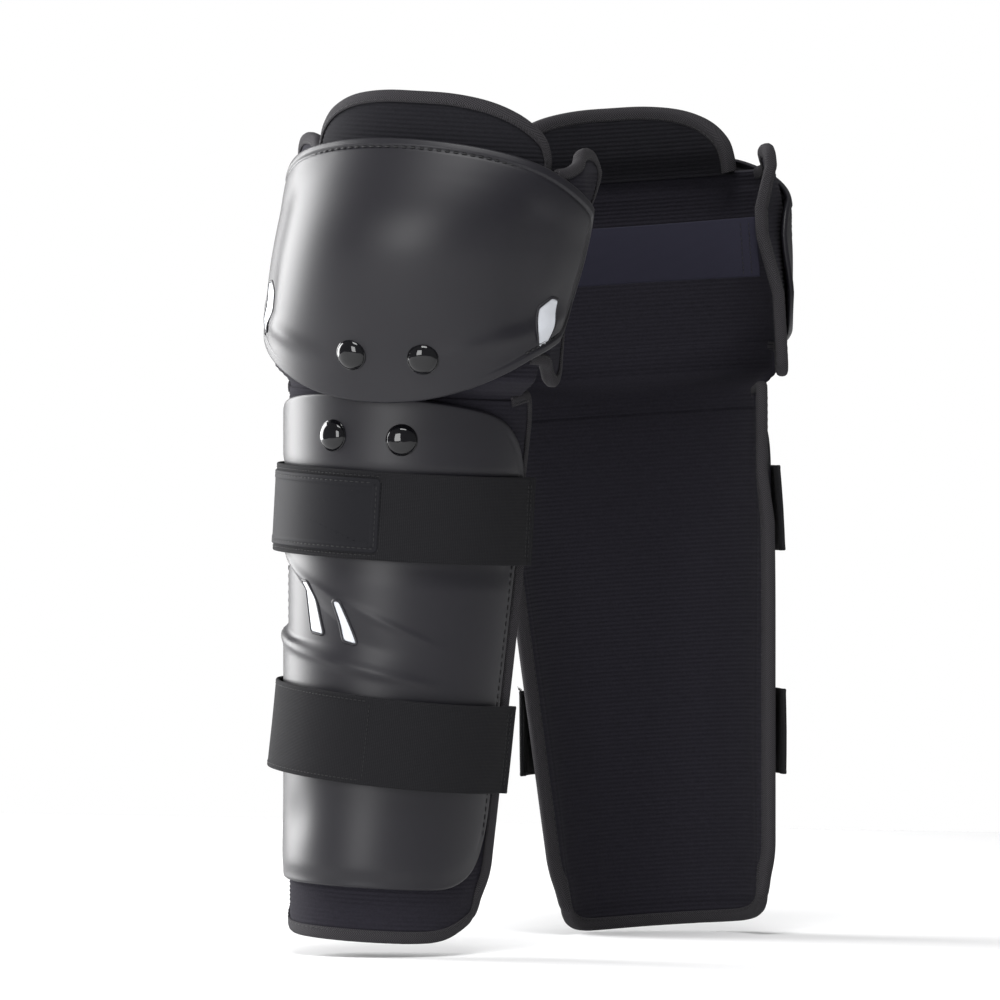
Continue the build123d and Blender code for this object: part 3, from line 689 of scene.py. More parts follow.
def plate_relief(guard):
    """The shin shell's moulded creases round its windows, its strap step and flared foot."""

    def lift(a, z, d):
        s = a * guard.side / guard.spread
        high = 185.5 - 0.40 * s
        low = 155.5 - 0.175 * s
        fade = 1 - smooth(s, 6, 58)
        depth = CREASE_DEPTH * fade * (0.55 + 0.45 * smooth(-s, -20, 40))
        soft = 2.2 + 0.12 * np.clip(s + 55, 0, 110)
        hollow = smooth(high - z, 0, 1.8 * soft) * smooth(z - low, 0, 1.4 * soft)
        crest = CREASE_CREST * fade * (bump(z, high + 1.5, 2.5) + 1.6 * bump(z, low - 1.5, 3.0))
        step = -STRAP_STEP * (1 - smooth(z, 262, 271)) * smooth(z, 200, 214)
        foot = FOOT_FLARE * (1 - smooth(z, 36, 84)) * (0.6 + 0.4 * np.cos(s / 30))
        dent = -FOOT_DENT * np.exp(-(((s + 42) / 16) ** 2) - ((z - 66) / 14) ** 2)
        rounded = -1.1 * (1 - smooth(d, 0, 0.9))
        groove = -0.35 * bump(d, 4.6, 0.6) * smooth(np.abs(s), 84, 90)
        return rounded + groove + (crest - depth * hollow + step + foot + dent) * smooth(d, 2, 12)

    return lift


def reflector(name, guard, wall, lift, middle, corners, body):
    """A light insert with rounded corners, sunk in a moulded frame."""
    a0, z0 = middle
    points = []
    ring = [np.array(p, float) for p in corners]
    for before, here, after in zip([ring[-1], *ring[:-1]], ring, [*ring[1:], ring[0]]):
        into = (before - here) / np.linalg.norm(before - here)
        out = (after - here) / np.linalg.norm(after - here)
        for t in np.linspace(0, 1, 4):
            points.append(here + 1.3 * ((1 - t) ** 2 * into + t**2 * out))
    loop = evenly(np.array(points) + (a0, z0), 96, closed=True, straight=True)
    area = np.sum(loop[:, 0] * np.roll(loop[:, 1], -1) - np.roll(loop[:, 0], -1) * loop[:, 1])
    if area > 0:
        loop = loop[::-1]

    def base(a, z):
        return lift(a, z, np.full(np.shape(a), 60.0))

    def top(a, z, d):
        return base(a, z) + 0.32 - 0.25 * (1 - smooth(d, 0, 0.5))

    points, faces, uvs = plate(wall, loop, 0.7, top, (0, 0.15, 0.35, 0.6, 1.0), 5)
    insert = piece(f"{name}_reflector", guard.row(points), faces, "reflector", body, uvs)
    points, faces, _ = strip(wall, loop, WINDOW_FRAME, closed=True, rise=base)
    piece(f"{name}_window_frame", guard.row(points), faces, "shell_plastic", body)
    return insert


CAP_PROFILE = [
    (0, 4.3), (1.8, 4.22), (3.6, 3.98), (5.2, 3.55), (6.6, 2.9), (7.7, 2.1), (8.35, 1.3),
    (8.6, 0.75), (8.62, 0.45), (8.95, 0.42), (9.05, 0.2), (9.0, -0.05), (7.6, -0.2), (2.3, -0.2),
    (2.3, -5.4), (3.6, -5.5), (3.5, -6.1), (2.0, -6.5), (0, -6.6),
]


def rivet(name, guard, wall, lift, x, z, body):
    """A domed snap cap with its rolled rim, shank and clenched tail."""
    a = float(wall.by_x(x, z))
    at = wall.at(a, z, lift(np.array([a]), np.array([float(z)]), np.array([60.0]))[0])
    out = wall.normal(a, z)
    side = np.cross(out, (0, 0, 1.0))
    side /= np.linalg.norm(side)
    turns = np.linspace(0, 2 * math.pi, 56, endpoint=False)
    ring = np.cos(turns)[:, None] * side + np.sin(turns)[:, None] * np.cross(out, side)
    points = np.vstack([at + ring * r + out * h for r, h in CAP_PROFILE])
    faces = weave_grid(len(CAP_PROFILE), len(turns), closed=True)
    return piece(name, guard.row(points), faces, "rivet_cap", body, flip=True)


def build_cup(guard):
    body = f"{guard.name}_knee"
    wall = Wall(guard, cup_size)
    lift = cup_relief(guard)
    loop = outline_loop(wall, CUP_OUTLINE, 480)
    points, faces, uvs = plate(wall, loop, CUP_WALL - 0.4, lift, LIP_RIM, 56)
    shell = piece(f"{guard.name}_cup_shell", guard.row(points), faces, "shell_plastic", body, uvs)
    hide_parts(f"{guard.name}_knee_cup")
    path = loop + inward(loop, closed=True) * STITCH_INSET
    start = int(np.argmax((path[:, 1] < 336) & (path[:, 0] > 0)))
    end = len(path) - int(np.argmax((path[::-1, 1] < 336) & (path[::-1, 0] < 0)))
    line = np.vstack([path[end:], path[:start]])
    seam(f"{guard.name}_cup_stitches", wall, line, 0.05, body, *CUP_STITCH)
    for sign, word in SIDES:
        turn = CUP_WINDOW_TURNS[0 if sign == guard.side else 1]
        middle = (sign * float(wall.quarter(CUP_WINDOW_Z)) * turn / 90, CUP_WINDOW_Z)
        corners = [(sign * x, z) for x, z in CUP_WINDOW]
        tag = f"{guard.name}_cup_{word}"
        insert = reflector(tag, guard, wall, lift, middle, corners, body)
        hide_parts(f"{guard.name}_cup_inserts")
        cap = rivet(f"{tag}_rivet", guard, wall, lift, guard.cup_rivet_x(sign),
                    CUP_RIVET_Z, body)
        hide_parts(f"{guard.name}_cup_rivets")


def build_plate(guard):
    body = f"{guard.name}_shin"
    wall = Wall(guard, shell_size)
    lift = plate_relief(guard)
    loop = outline_loop(wall, PLATE_OUTLINE, 560)
    points, faces, uvs = plate(wall, loop, SHELL_WALL - 0.2, lift, PLAIN_RIM, 80)
    shell = piece(f"{guard.name}_shin_plate", guard.row(points), faces, "shell_plastic", body, uvs)
    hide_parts(f"{guard.name}_shin_shell")
    for sign, word in SIDES:
        line = [(wall.length(sign * 1.0, z) - sign * 4.6, z) for z in np.linspace(58, 262, 12)]
        seam(f"{guard.name}_plate_stitches_{word}", wall, line, 0.0, body, *SHELL_STITCH)
        cap = rivet(f"{guard.name}_plate_{word}_rivet", guard, wall, lift, sign * RIVET_X,
                    SHIN_RIVET_Z, body)
        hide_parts(f"{guard.name}_shin_rivets")
    for index, (x, z, corners) in enumerate(SHIN_WINDOWS):
        middle = (wall.by_x(guard.side * guard.spread * x, float(z)), z)
        turned = [(guard.side * cx, cz) for cx, cz in corners]
        insert = reflector(f"{guard.name}_plate_{index}", guard, wall, lift, middle, turned, body)
        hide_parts(f"{guard.name}_shin_inserts")


# ---- liners ----
TAPE = [
    (6.2, 0.3), (5.9, 0.75), (4.8, 0.85), (3.0, 0.95), (1.2, 0.9), (0.0, 0.45), (-0.9, -0.7),
    (-1.15, -2.4), (-0.9, -4.2), (0.0, -5.3), (1.2, -5.8), (3.0, -5.9), (4.8, -5.75), (5.9, -5.6),
    (6.2, -5.1), (5.0, -4.6), (5.0, -0.6),
]
# the tape's two faces, each with the lift of its stitches, and how far in they run
TAPE_FACES = (("out", 0.85), ("in", -5.85))
TAPE_SEWN = 4.9
LINER_THIN = 4.3
LINER_SWELL = 2.5
TONGUE_SWELL = 5.0
# columns and rows of the coarse copies that are simulated
LINER_CLOTH = (30, 34)
TONGUE_CLOTH = (40, 18)
SWELL_FRAMES = 20
SWELL_PRESSURE = 4
# how far inside its outline a pad's own edge lies, under the tape
EDGE_INSET = 0.8


def ribs(z):
    return 0.42 * (0.5 + 0.5 * np.cos(2 * math.pi * z / RIB_PITCH))


def sheets(rows, columns):
    """Faces of a closed pad from two grids of the same size, outer first, joined at the border."""
    size = rows * columns
    faces = weave_grid(rows, columns)
    faces += [face[::-1] for face in weave_grid(rows, columns, start=size)]
    border = [*range(columns), *[i * columns + columns - 1 for i in range(1, rows)],
              *[(rows - 1) * columns + j for j in range(columns - 2, -1, -1)],
              *[i * columns for i in range(rows - 2, 0, -1)]]
    faces += [(p, size + p, size + q, q) for p, q in zip(border, [*border[1:], border[0]])]
    return faces, border


def pad_piece(name, guard, outer, inner, flat, material, body):
    """A closed pad from two grids of points. flat is its UVs in mm, the same on both faces."""
    points = np.vstack([outer.reshape(-1, 3), inner.reshape(-1, 3)])
    uvs = np.stack(flat, axis=-1).reshape(-1, 2) / 1000
    faces, _ = sheets(*outer.shape[:2])
    return piece(name, guard.row(points), faces, material, body, np.vstack([uvs, uvs]))


def swelling(wall, a_grid, z_grid, thick, cloth_size, cap):
    """How far a pad that is sewn round its edge swells outward and inward, in mm on the grid:
    a cloth simulation of a coarse copy of the pad, read back point by point."""
    across, up = cloth_size
    rows = np.linspace(0, a_grid.shape[0] - 1, up).round().astype(int)
    columns = np.linspace(0, a_grid.shape[1] - 1, across).round().astype(int)
    a, z = a_grid[np.ix_(rows, columns)], z_grid[np.ix_(rows, columns)]
    start = np.vstack([
        wall.guard.row(wall.at(a, z, 0)), wall.guard.row(wall.at(a, z, -thick)),
    ])
    faces, border = sheets(up, across)
    mesh = bpy.data.meshes.new("pad_copy")
    mesh.from_pydata(start.tolist(), [], faces)
    pad = bpy.data.objects.new("pad_copy", mesh)
    bpy.context.scene.collection.objects.link(pad)
    sewn = pad.vertex_groups.new(name="sewn")
    sewn.add([int(i) for i in border] + [int(i) + a.size for i in border], 1.0, "ADD")
    cloth = pad.modifiers.new("cloth", "CLOTH")
    cloth.settings.vertex_group_mass = "sewn"
    cloth.settings.use_pressure = True
    cloth.settings.uniform_pressure_force = SWELL_PRESSURE
    cloth.settings.effector_weights.gravity = 0
    cloth.point_cache.frame_start = 1
    cloth.point_cache.frame_end = SWELL_FRAMES
    for step in range(1, SWELL_FRAMES + 1):
        bpy.context.scene.frame_set(step)
    swollen = pad.evaluated_get(bpy.context.evaluated_depsgraph_get()).data
    end = np.empty(len(start) * 3)
    swollen.vertices.foreach_get("co", end)
    bpy.context.scene.frame_set(1)
    bpy.data.objects.remove(pad)
    moved = ((end.reshape(-1, 3) - start) * 1000).reshape(2, up, across, 3)
    normal = wall.guard.row(wall.point(a, z) + wall.normal(a, z)) - wall.guard.row(wall.point(a, z))
    normal = 1000 * normal.reshape(up, across, 3)
    fields = []
    for sign, shift in ((1, moved[0]), (-1, moved[1])):
        coarse = np.maximum(sign * np.sum(shift * normal, axis=-1), 0)
        coarse *= cap / max(cap, coarse.max())
        wide = np.array([np.interp(np.arange(a_grid.shape[1]), columns, row) for row in coarse])
        fields.append(
            np.array([np.interp(np.arange(a_grid.shape[0]), rows, column) for column in wide.T]).T
        )
    return fields


def liner(name, guard, wall, a_grid, z_grid, edge, body):
    """A foam liner with ribbed faces, from a grid of (a, z). edge is each point's distance in."""
    rib = ribs(z_grid) * smooth(edge, 0.5, 3.0)
    _, swell = swelling(wall, a_grid, z_grid, LINER_WALL, LINER_CLOTH, LINER_SWELL)
    thick = LINER_THIN + (LINER_WALL - LINER_THIN) * smooth(edge, 10, 15)
    outer = wall.at(a_grid, z_grid, rib - 0.35)
    inner = wall.at(a_grid, z_grid, -thick - rib - swell)
    pad = pad_piece(name, guard, outer, inner, (a_grid, z_grid), "ribbed_lining", body)
    plies = [f"{name.removesuffix('_liner')}_{ply}" for ply in ("cover", "foam", "lining")]
    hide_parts(*plies)


def rows_between(low, high):
    """Heights in step with the ribs, so that every rib gets the same points."""
    first = math.ceil(low / RIB_STEP) * RIB_STEP
    return np.arange(first, high, RIB_STEP)


def shin_edge(guard, wall, count=500):
    """The right half of the shin liner's outline, from the top notch down to the hem's middle."""
    ear = [(wall.length(0.8, 311), 311), (wall.length(0.95, 313.5), 313.8),
           (wall.length(1.25, 311), 311.5)]
    side = [(1.8, 303), (2, 294), (2, 270), (2, 200), (2, 120), (2, 60), (1.95, 40), (1.5, 26),
            (1.02, 14)]
    hem = [(70, 6), (56, 1.6), (38, 0.2), (0, 0)]
    rest = [(wall.length(c, z), z) for c, z in side] + [(x * guard.spread, z) for x, z in hem]
    return evenly(ear + rest, count)


def build_shin_liner(guard):
    body = f"{guard.name}_shin"
    wall = Wall(guard, shin_liner_size)
    half = shin_edge(guard, wall)
    side = half[(half[:, 1] < 294) & (half[:, 1] > 0)][::-1]
    heights = np.concatenate([[0.3, 0.7, 1.2, 1.8], rows_between(2.4, 294)])
    reach = np.interp(heights, np.maximum.accumulate(side[:, 1]), side[:, 0]) - EDGE_INSET
    columns = crowded(-1, 81, 0.9)
    a_low = reach[:, None] * columns
    z_low = np.repeat(heights[:, None], len(columns), axis=1)
    crown = half[half[:, 1] > 294]
    order = np.argsort(crown[:, 0])
    top_z = np.interp(np.abs(a_low[-1]), crown[order, 0], crown[order, 1], left=309.5) - EDGE_INSET
    share = np.linspace(0, 1, 24)[1:, None]
    z_high = z_low[-1] + (top_z - z_low[-1]) * share
    a_grid = np.vstack([a_low, np.repeat(a_low[-1:], len(share), axis=0)])
    z_grid = np.vstack([z_low, z_high])
    rear = np.concatenate([reach, np.full(len(share), reach[-1])])[:, None]
    edge = np.minimum(rear - np.abs(a_grid), np.minimum(z_grid, 330 - z_grid))
    liner(f"{guard.name}_shin_liner", guard, wall, a_grid, z_grid, edge, body)
    left = half[::-1][1:] * (-1, 1)
    line = evenly(np.vstack([half, left])[::6], 900)
    points, faces, uvs = strip(wall, line, TAPE)
    tape = piece(f"{guard.name}_shin_tape", guard.row(points), faces, "binding_tape", body, uvs)
    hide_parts(f"{guard.name}_shin_binding")
    sewn = line + inward(line) * TAPE_SEWN
    for face, lift in TAPE_FACES:
        seam(f"{guard.name}_shin_tape_stitches_{face}", wall, sewn[::4], lift, body, *TAPE_STITCH)


# the wings' rear edges run straight between these heights
WING_LOW, WING_HIGH = 332, 444
# a wing's edge, (share c, z) from the cup's top corner round the rear and under to the front
WING_LINE = [
    (0.76, 440.5), (0.85, 441.8), (1.0, 446.5), (1.25, 451), (1.6, 452.6), (1.88, 450.5),
    (2, WING_HIGH), (2, 430), (2, 400), (2, 360), (2, WING_LOW), (1.95, 322.5), (1.75, 318),
    (1.45, 320.5), (1.15, 326.5), (0.95, 330.2), (0.8, 331),
]


def wing_line(wall, sign, count=420):
    points = [(np.abs(wall.length(sign * c, z)), z) for c, z in WING_LINE]
    return evenly(points, count)


def knee_half(wall, sign):
    """One half of the knee liner's grid: its columns as shares of the reach, the lowest and
    highest z of each, and the rear edge, (a, z) from the bottom up."""
    line = wing_line(wall, sign)
    far = line[:, 0] > 0.8 * line[:, 0].max()
    straight = far & (line[:, 1] > WING_LOW) & (line[:, 1] < WING_HIGH)
    first, last = np.flatnonzero(straight)[[0, -1]]
    crown, foot, rear = line[: first + 1], line[last:][::-1], line[first:last + 1][::-1]
    columns = crowded(0, 56, 0.92)
    a = columns * (foot[-1, 0] - EDGE_INSET)
    low = np.interp(a, foot[:, 0], foot[:, 1], left=np.nan)
    front = 320 + 11 * smooth(a, 52, 100)
    low = np.where(np.isnan(low), front, low) + EDGE_INSET
    a = columns * (crown[-1, 0] - EDGE_INSET)
    high = np.interp(a, crown[:, 0], crown[:, 1], left=440.0) - EDGE_INSET
    return sign * columns, low, high, rear


def build_knee_liner(guard):
    body = f"{guard.name}_knee"
    wall = Wall(guard, knee_liner_size)
    halves = [knee_half(wall, sign) for sign, _ in SIDES]
    (share0, low0, high0, rear0), (share1, low1, high1, rear1) = halves
    across = np.concatenate([share0[:0:-1], share1])
    low = np.concatenate([low0[:0:-1], low1])
    high = np.concatenate([high0[:0:-1], high1])
    middle = rows_between(WING_LOW, 439)
    up = np.linspace(0, 1, 14)[:, None]
    z_grid = np.vstack([
        low + (middle[0] - low) * up[:-1], np.repeat(middle[:, None], len(across), axis=1),
        middle[-1] + (high - middle[-1]) * up[1:],
    ])
    reach = [np.interp(z_grid, rear[:, 1], rear[:, 0]) - EDGE_INSET for rear in (rear0, rear1)]
    reach = np.where(across < 0, *reach)
    a_grid = across * reach
    edge = np.minimum(reach - np.abs(a_grid), np.minimum(z_grid - low, high - z_grid + 3))
    liner(f"{guard.name}_knee_liner", guard, wall, a_grid, z_grid, edge, body)
    for sign, word in SIDES:
        line = wing_line(wall, sign)
        points, faces, uvs = strip(wall, line * (sign, 1), [(sign * d, h) for d, h in TAPE])
        tape = piece(f"{guard.name}_wing_tape_{word}", guard.row(points), faces, "binding_tape",
                     body, uvs, flip=sign < 0)
        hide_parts(f"{guard.name}_knee_binding")
        sewn = (line + inward(line) * TAPE_SEWN) * (sign, 1)
        for face, lift in TAPE_FACES:
            seam(f"{guard.name}_wing_stitches_{face}_{word}", wall, sewn[::4], lift, body,
                 *TAPE_STITCH)


def bend_between(guard, cloth, low, high):
    """Bakes the cloth's placement into its mesh. The points at the heights low and high on the hinge
    line are worked out but not used.
    """
    start, end = guard.row([(0, HINGE_Y, low), (0, HINGE_Y, high)])
    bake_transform(cloth)


def build_flex(guard):
    """The soft part of the liner in front of the joint. Its shape blends from the shin liner's wall
    to the knee liner's, and it rides on neither body.
    """
    upper = Wall(guard, knee_liner_size)
    lower = Wall(guard, shin_liner_size)
    q = np.linspace(-0.9, 0.9, 91)[None, :]
    z = np.arange(300, 337, RIB_STEP)[:, None]
    share = smooth(z, 309, 322)
    q, z, share = np.broadcast_arrays(q, z, share)
    rib = ribs(z)
    grids = []
    for lift in (rib - 1.2, -5.5 - rib):
        low = lower.at(q * lower.quarter(z), z, lift)
        high = upper.at(q * upper.quarter(z), z, lift)
        grids.append(low + (high - low) * share[..., None])
    panel = pad_piece(f"{guard.name}_flex_liner", guard, *grids, (q * 110, z), "ribbed_lining", None)
    bend_between(guard, panel, 304, 330)
    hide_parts(f"{guard.name}_flex_panel")


LINK_HALF = 10


def build_links(guard):
    """Two webbing links riveted behind the shells."""
    cup, plate_wall = Wall(guard, cup_size), Wall(guard, shell_size)
    for sign, word in SIDES:
        z = np.linspace(275, 340, 66)[:, None]
        v = np.linspace(-1, 1, 21)[None, :]
        share = smooth(z, 300, 326)
        x_low = sign * RIVET_X + v * LINK_HALF
        x_high = guard.cup_rivet_x(sign) + v * LINK_HALF
        edge = 0.12 * bump(np.abs(v), 0.86, 0.08)
        grids = []
        for lift in (-3.1 + edge, -4.3 - edge):
            low = plate_wall.at(plate_wall.by_x(x_low, z), z, lift + 0.3)
            high = cup.at(cup.by_x(x_high, z), z, lift - 0.4)
            grids.append((low + (high - low) * share[..., None]).reshape(-1, 3))
        rows, columns = len(z), v.shape[1]
        size = rows * columns
        faces = weave_grid(rows, columns)
        faces += [face[::-1] for face in weave_grid(rows, columns, start=size)]
        for i in range(rows - 1):
            here, above = i * columns, (i + 1) * columns
            end, over = here + columns - 1, above + columns - 1
            faces += [(above, size + above, size + here, here), (end, size + end, size + over, over)]
        flat = np.stack(np.broadcast_arrays(z, LINK_HALF * v), axis=-1).reshape(-1, 2) / 1000
        link = piece(f"{guard.name}_link_{word}", guard.row(np.vstack(grids)), faces, "webbing",
                     None, np.vstack([flat, flat]))
        bend_between(guard, link, 300, 326)
        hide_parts(f"{guard.name}_link_straps")


# ---- tongue ----
TONGUE_EDGE = [(71, 439), (70.5, 447), (68, 457), (61, 466), (51, 472.5), (38, 477), (20, 479.6),
               (0, 480)]
TONGUE_ROOT = 437
TONGUE_THICK = 6.5
TONGUE_FACES = (("out", 0.85), ("in", -7.3))


def build_tongue(guard):
    body = f"{guard.name}_knee"
    wall = Wall(guard, tongue_size)
    right = [(float(wall.by_x(guard.knee_x(440) + x, z)), z) for x, z in TONGUE_EDGE]
    line = evenly([*[(-a, z) for a, z in right], *right[-2::-1]], 420)
    reach = line[:, 0].max()
    order = np.argsort(line[:, 0])
    a = crowded(-1, 91, 0.93) * (reach - EDGE_INSET)
    top = np.interp(a, line[order, 0], line[order, 1]) - EDGE_INSET
    share = np.linspace(0, 1, 70)[:, None]
    z_grid = TONGUE_ROOT + (top - TONGUE_ROOT) * share
    a_grid = np.repeat(a[None, :], len(share), axis=0)
    edge = np.minimum(np.minimum(reach - np.abs(a_grid), top - z_grid), 30)
    rib = ribs(z_grid) * smooth(edge, 0.5, 3)
    thick = 1.2 + (TONGUE_THICK - 1.2) * smooth(z_grid, TONGUE_ROOT, 455)
    swell_out, swell_in = swelling(
        wall, a_grid, z_grid, TONGUE_THICK, TONGUE_CLOTH, TONGUE_SWELL
    )
    free = smooth(z_grid, 452, 462)
    outer = wall.at(a_grid, z_grid, rib + free * swell_out - 0.5)
    inner = wall.at(a_grid, z_grid, -thick - rib - free * swell_in)
    pad = pad_piece(f"{guard.name}_tongue_pad", guard, outer, inner, (a_grid, z_grid),
                    "tongue_fabric", body)
    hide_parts(f"{guard.name}_tongue")
    extra = TONGUE_THICK - LINER_WALL
    profile = [(d, h if h > -3 else h - extra) for d, h in TAPE]
    points, faces, uvs = strip(wall, line, profile)
    tape = piece(f"{guard.name}_tongue_tape", guard.row(points), faces, "binding_tape", body, uvs)
    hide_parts(f"{guard.name}_tongue_binding")
    sewn = line + inward(line) * TAPE_SEWN
    for face, lift in TONGUE_FACES:
        seam(f"{guard.name}_tongue_stitches_{face}", wall, sewn[::4], lift, body, *TAPE_STITCH)


# ---- straps ----
BAND = [
    (0, -0.9), (0.15, -0.25), (0.6, 0.05), (1.3, 0.12), (2.2, 0.0), (3.0, -0.04), (12, 0.04),
    (25, 0.08), (38, 0.04), (47.0, -0.04), (47.8, 0.0), (48.7, 0.12), (49.4, 0.05), (49.85, -0.25),
    (50, -0.9), (49.85, -1.55), (49.4, -1.85), (47.5, -1.8), (25, -1.72), (2.5, -1.8), (0.6, -1.85),
    (0.15, -1.55),
]
HOOKS = [(2.4, -1.75), (47.6, -1.75), (47.8, -2.2), (47.4, -2.6), (36, -2.68), (25, -2.7),
         (14, -2.68), (2.6, -2.6), (2.2, -2.2)]
KNEE_BAND = [(0, 0.9), (0.3, 1.5), (1.0, 1.75), (17.5, 1.9), (34, 1.75), (34.7, 1.5), (35, 0.9),
             (34.7, 0.3), (34, 0.05), (17.5, -0.1), (1.0, 0.05), (0.3, 0.3)]
BADGE_RIM = (0, 0.15, 0.4, 0.8, 1.4, 1.9, 2.4, 2.9, 3.5, 4.2, 4.7, 5.2, 6.0)
BADGE_GROOVE = 2.4
BADGE_HALF = 21
BADGE_CORNER = 3


def strap_wall(guard, strap):
    z, height, slant, _ = strap
    drift = guard.side * math.sin(math.radians(slant)) * height / 2
    return Wall(guard, strap_size(strap), base=(-drift, 0, z), slant=slant)


def band(name, wall, a0, a1, profile, material, body, wander=0.0):
    """A flat strap from a0 to a1 round a wall. profile is (height across it, lift), closed."""
    a = np.linspace(a0, a1, 320)[:, None]
    v = np.array([p[0] for p in profile])[None, :]
    h = np.array([p[1] for p in profile])[None, :]
    ripple = wander * (0.5 * np.sin(a / 17 + v / 9) + 0.5 * np.sin(a / 41 - v / 14 + 1.3))
    a, v, h, turned = np.broadcast_arrays(a, v, h, run_of(profile))
    points = wall.at(a, v, h + ripple).reshape(-1, 3)
    uvs = np.stack([a, turned], axis=-1).reshape(-1, 2) / 1000
    return piece(name, wall.guard.row(points), tube_faces(*a.shape), material, body, uvs)


def build_straps(guard):
    s = guard.side
    for word, strap in (("upper", UPPER_STRAP), ("lower", LOWER_STRAP)):
        body = f"{guard.name}_{word}_strap"
        wall = strap_wall(guard, strap)
        ends = sorted((float(wall.length(-2.0 * s, 0.0)), float(wall.length(2.0 * s, 0.0))))
        elastic = band(f"{guard.name}_{word}_elastic", wall, *ends, BAND, "elastic", body, 0.25)
        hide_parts(f"{guard.name}_{word}_strap")
        free, sewn = float(wall.length(-2.0 * s, 0.0)), float(wall.length(2.0 * s, 0.0))
        hook_end = float(wall.by_x(s * guard.spread * 14.0, 0.0))
        hooks = band(f"{guard.name}_{word}_hook_tape", wall, *sorted((free + s * 1.5, hook_end)),
                     HOOKS, "hook_tape", body)
        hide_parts(f"{guard.name}_{word}_hook")
        low, high = free + s * 4, hook_end - s * 2
        for row, z in (("bottom", 2.6), ("top", 47.4)):
            line = [(low, z), ((free + hook_end) / 2, z), (high, z)]
            seam(f"{guard.name}_{word}_hook_seam_{row}", wall, line, 0.12, body, *HOOK_STITCH)
        for tag, at, stitch in (
            ("hook_seam_start", low, HOOK_STITCH), ("hook_seam_end", high, HOOK_STITCH),
            ("hem_seam_0", sewn - s * 3, HEM_STITCH), ("hem_seam_1", sewn - s * 6.5, HEM_STITCH),
        ):
            line = [(at, 3.0), (at, 25.0), (at, 47.0)]
            seam(f"{guard.name}_{word}_{tag}", wall, line, 0.14, body, *stitch)
    build_badge(guard)


def build_badge(guard):
    """A blank rubber patch with a raised, stitched border at the free end of the upper strap."""
    s = guard.side
    body = f"{guard.name}_upper_strap"
    wall = strap_wall(guard, UPPER_STRAP)
    end = float(wall.by_x(guard.side * guard.spread * 12.0, 0.0))
    start = float(wall.length(-1.0 * s, 0.0)) + s * 12
    low, high = sorted((start, end))
    middle, half = (low + high) / 2, (high - low) / 2
    corners = []
    for sx, sz, turn in ((1, 1, 90), (1, -1, 0), (-1, -1, -90), (-1, 1, -180)):
        for t in np.radians(np.linspace(turn, turn - 90, 9)):
            corners.append((middle + sx * (half - BADGE_CORNER) + BADGE_CORNER * math.cos(t),
                            25 + sz * (BADGE_HALF - BADGE_CORNER) + BADGE_CORNER * math.sin(t)))
    loop = evenly(corners, 280, closed=True, straight=True)

    def lift(a, z, d):
        rounded = 0.6 * (1 - smooth(d, 0, 0.6))
        return 0.95 - rounded - 0.3 * smooth(d, 4.2, 5.0) - 0.25 * bump(d, BADGE_GROOVE, 0.45)

    points, faces, uvs = plate(wall, loop, 0.9, lift, BADGE_RIM, 14)
    badge = piece(f"{guard.name}_badge", guard.row(points), faces, "badge_rubber", body, uvs)
    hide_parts(f"{guard.name}_strap_badge")
    path = loop + inward(loop, closed=True) * BADGE_GROOVE
    line = np.vstack([path[::6], path[:1]])
    seam(f"{guard.name}_badge_stitches", wall, line, 0.75, body, *BADGE_STITCH)


def knee_strap_points(guard, share, z, lift):
    """Points of the knee strap and its span. share is 0 at the sewn end, 1 at the free one."""
    half = CUP_STATIONS[:, 1].max()
    inset = CUP_SIDE + LINER_WALL + KNEE_STRAP_CLEAR
    width = (half - 1) * guard.spread - inset
    lean = [guard.knee_x(KNEE_STRAP_Z), guard.knee_x(KNEE_STRAP_Z + KNEE_STRAP_HEIGHT)]
    near, _ = wing_edges(guard, 396.0, max(lean), width, KNEE_STRAP_Y, inset)
    _, far = wing_edges(guard, 396.0, min(lean), width, KNEE_STRAP_Y, inset)
    sewn, free = (far, near) if guard.side > 0 else (near, far)
    x = sewn + (free - sewn) * share
    y = KNEE_STRAP_Y + KNEE_STRAP_BOW * (1 - (2 * share - 1) ** 2) + lift
    return np.stack([x, y + 0 * z, z + 0 * x], axis=-1), (free - sewn)


def build_knee_strap(guard):
    body = f"{guard.name}_knee_strap"
    v, h = np.array(KNEE_BAND).T[:, None, :]
    share, v, h, turned = np.broadcast_arrays(
        np.linspace(0, 1, 200)[:, None], v, h, run_of(KNEE_BAND)
    )
    middle = KNEE_STRAP_HEIGHT / 2
    z = KNEE_STRAP_Z + middle + (v - middle) * (1 - 0.05 * np.sin(math.pi * share))
    thick = (h - 0.9) * (1 + 0.2 * smooth(share, 0.93, 0.96)) + 0.9
    points, span = knee_strap_points(guard, share, z, thick)
    uvs = np.stack([share * abs(span), turned], axis=-1).reshape(-1, 2) / 1000
    strap = piece(f"{guard.name}_knee_elastic", guard.row(points), tube_faces(*share.shape),
                  "smooth_elastic", body, uvs, flip=span > 0)
    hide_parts(f"{guard.name}_knee_strap")
    for at in (0.03, 0.06, 0.94, 0.97):
        z = np.arange(KNEE_STRAP_Z + 3, KNEE_STRAP_Z + 33, 2.8)
        for face, lift in (("out", 2.15), ("in", -0.35)):
            centres, _ = knee_strap_points(guard, np.full(len(z), at), z, np.full(len(z), lift))
            along = np.tile([0.0, 0.0, 1.0], (len(z), 1))
            normal = np.tile([0.0, 1.0, 0.0], (len(z), 1))
            points, faces = beads(centres, along, normal, 1.9, 0.26)
            piece(f"{guard.name}_knee_strap_seam_{face}_{int(at * 100)}", guard.row(points), faces,
                  "thread", body)


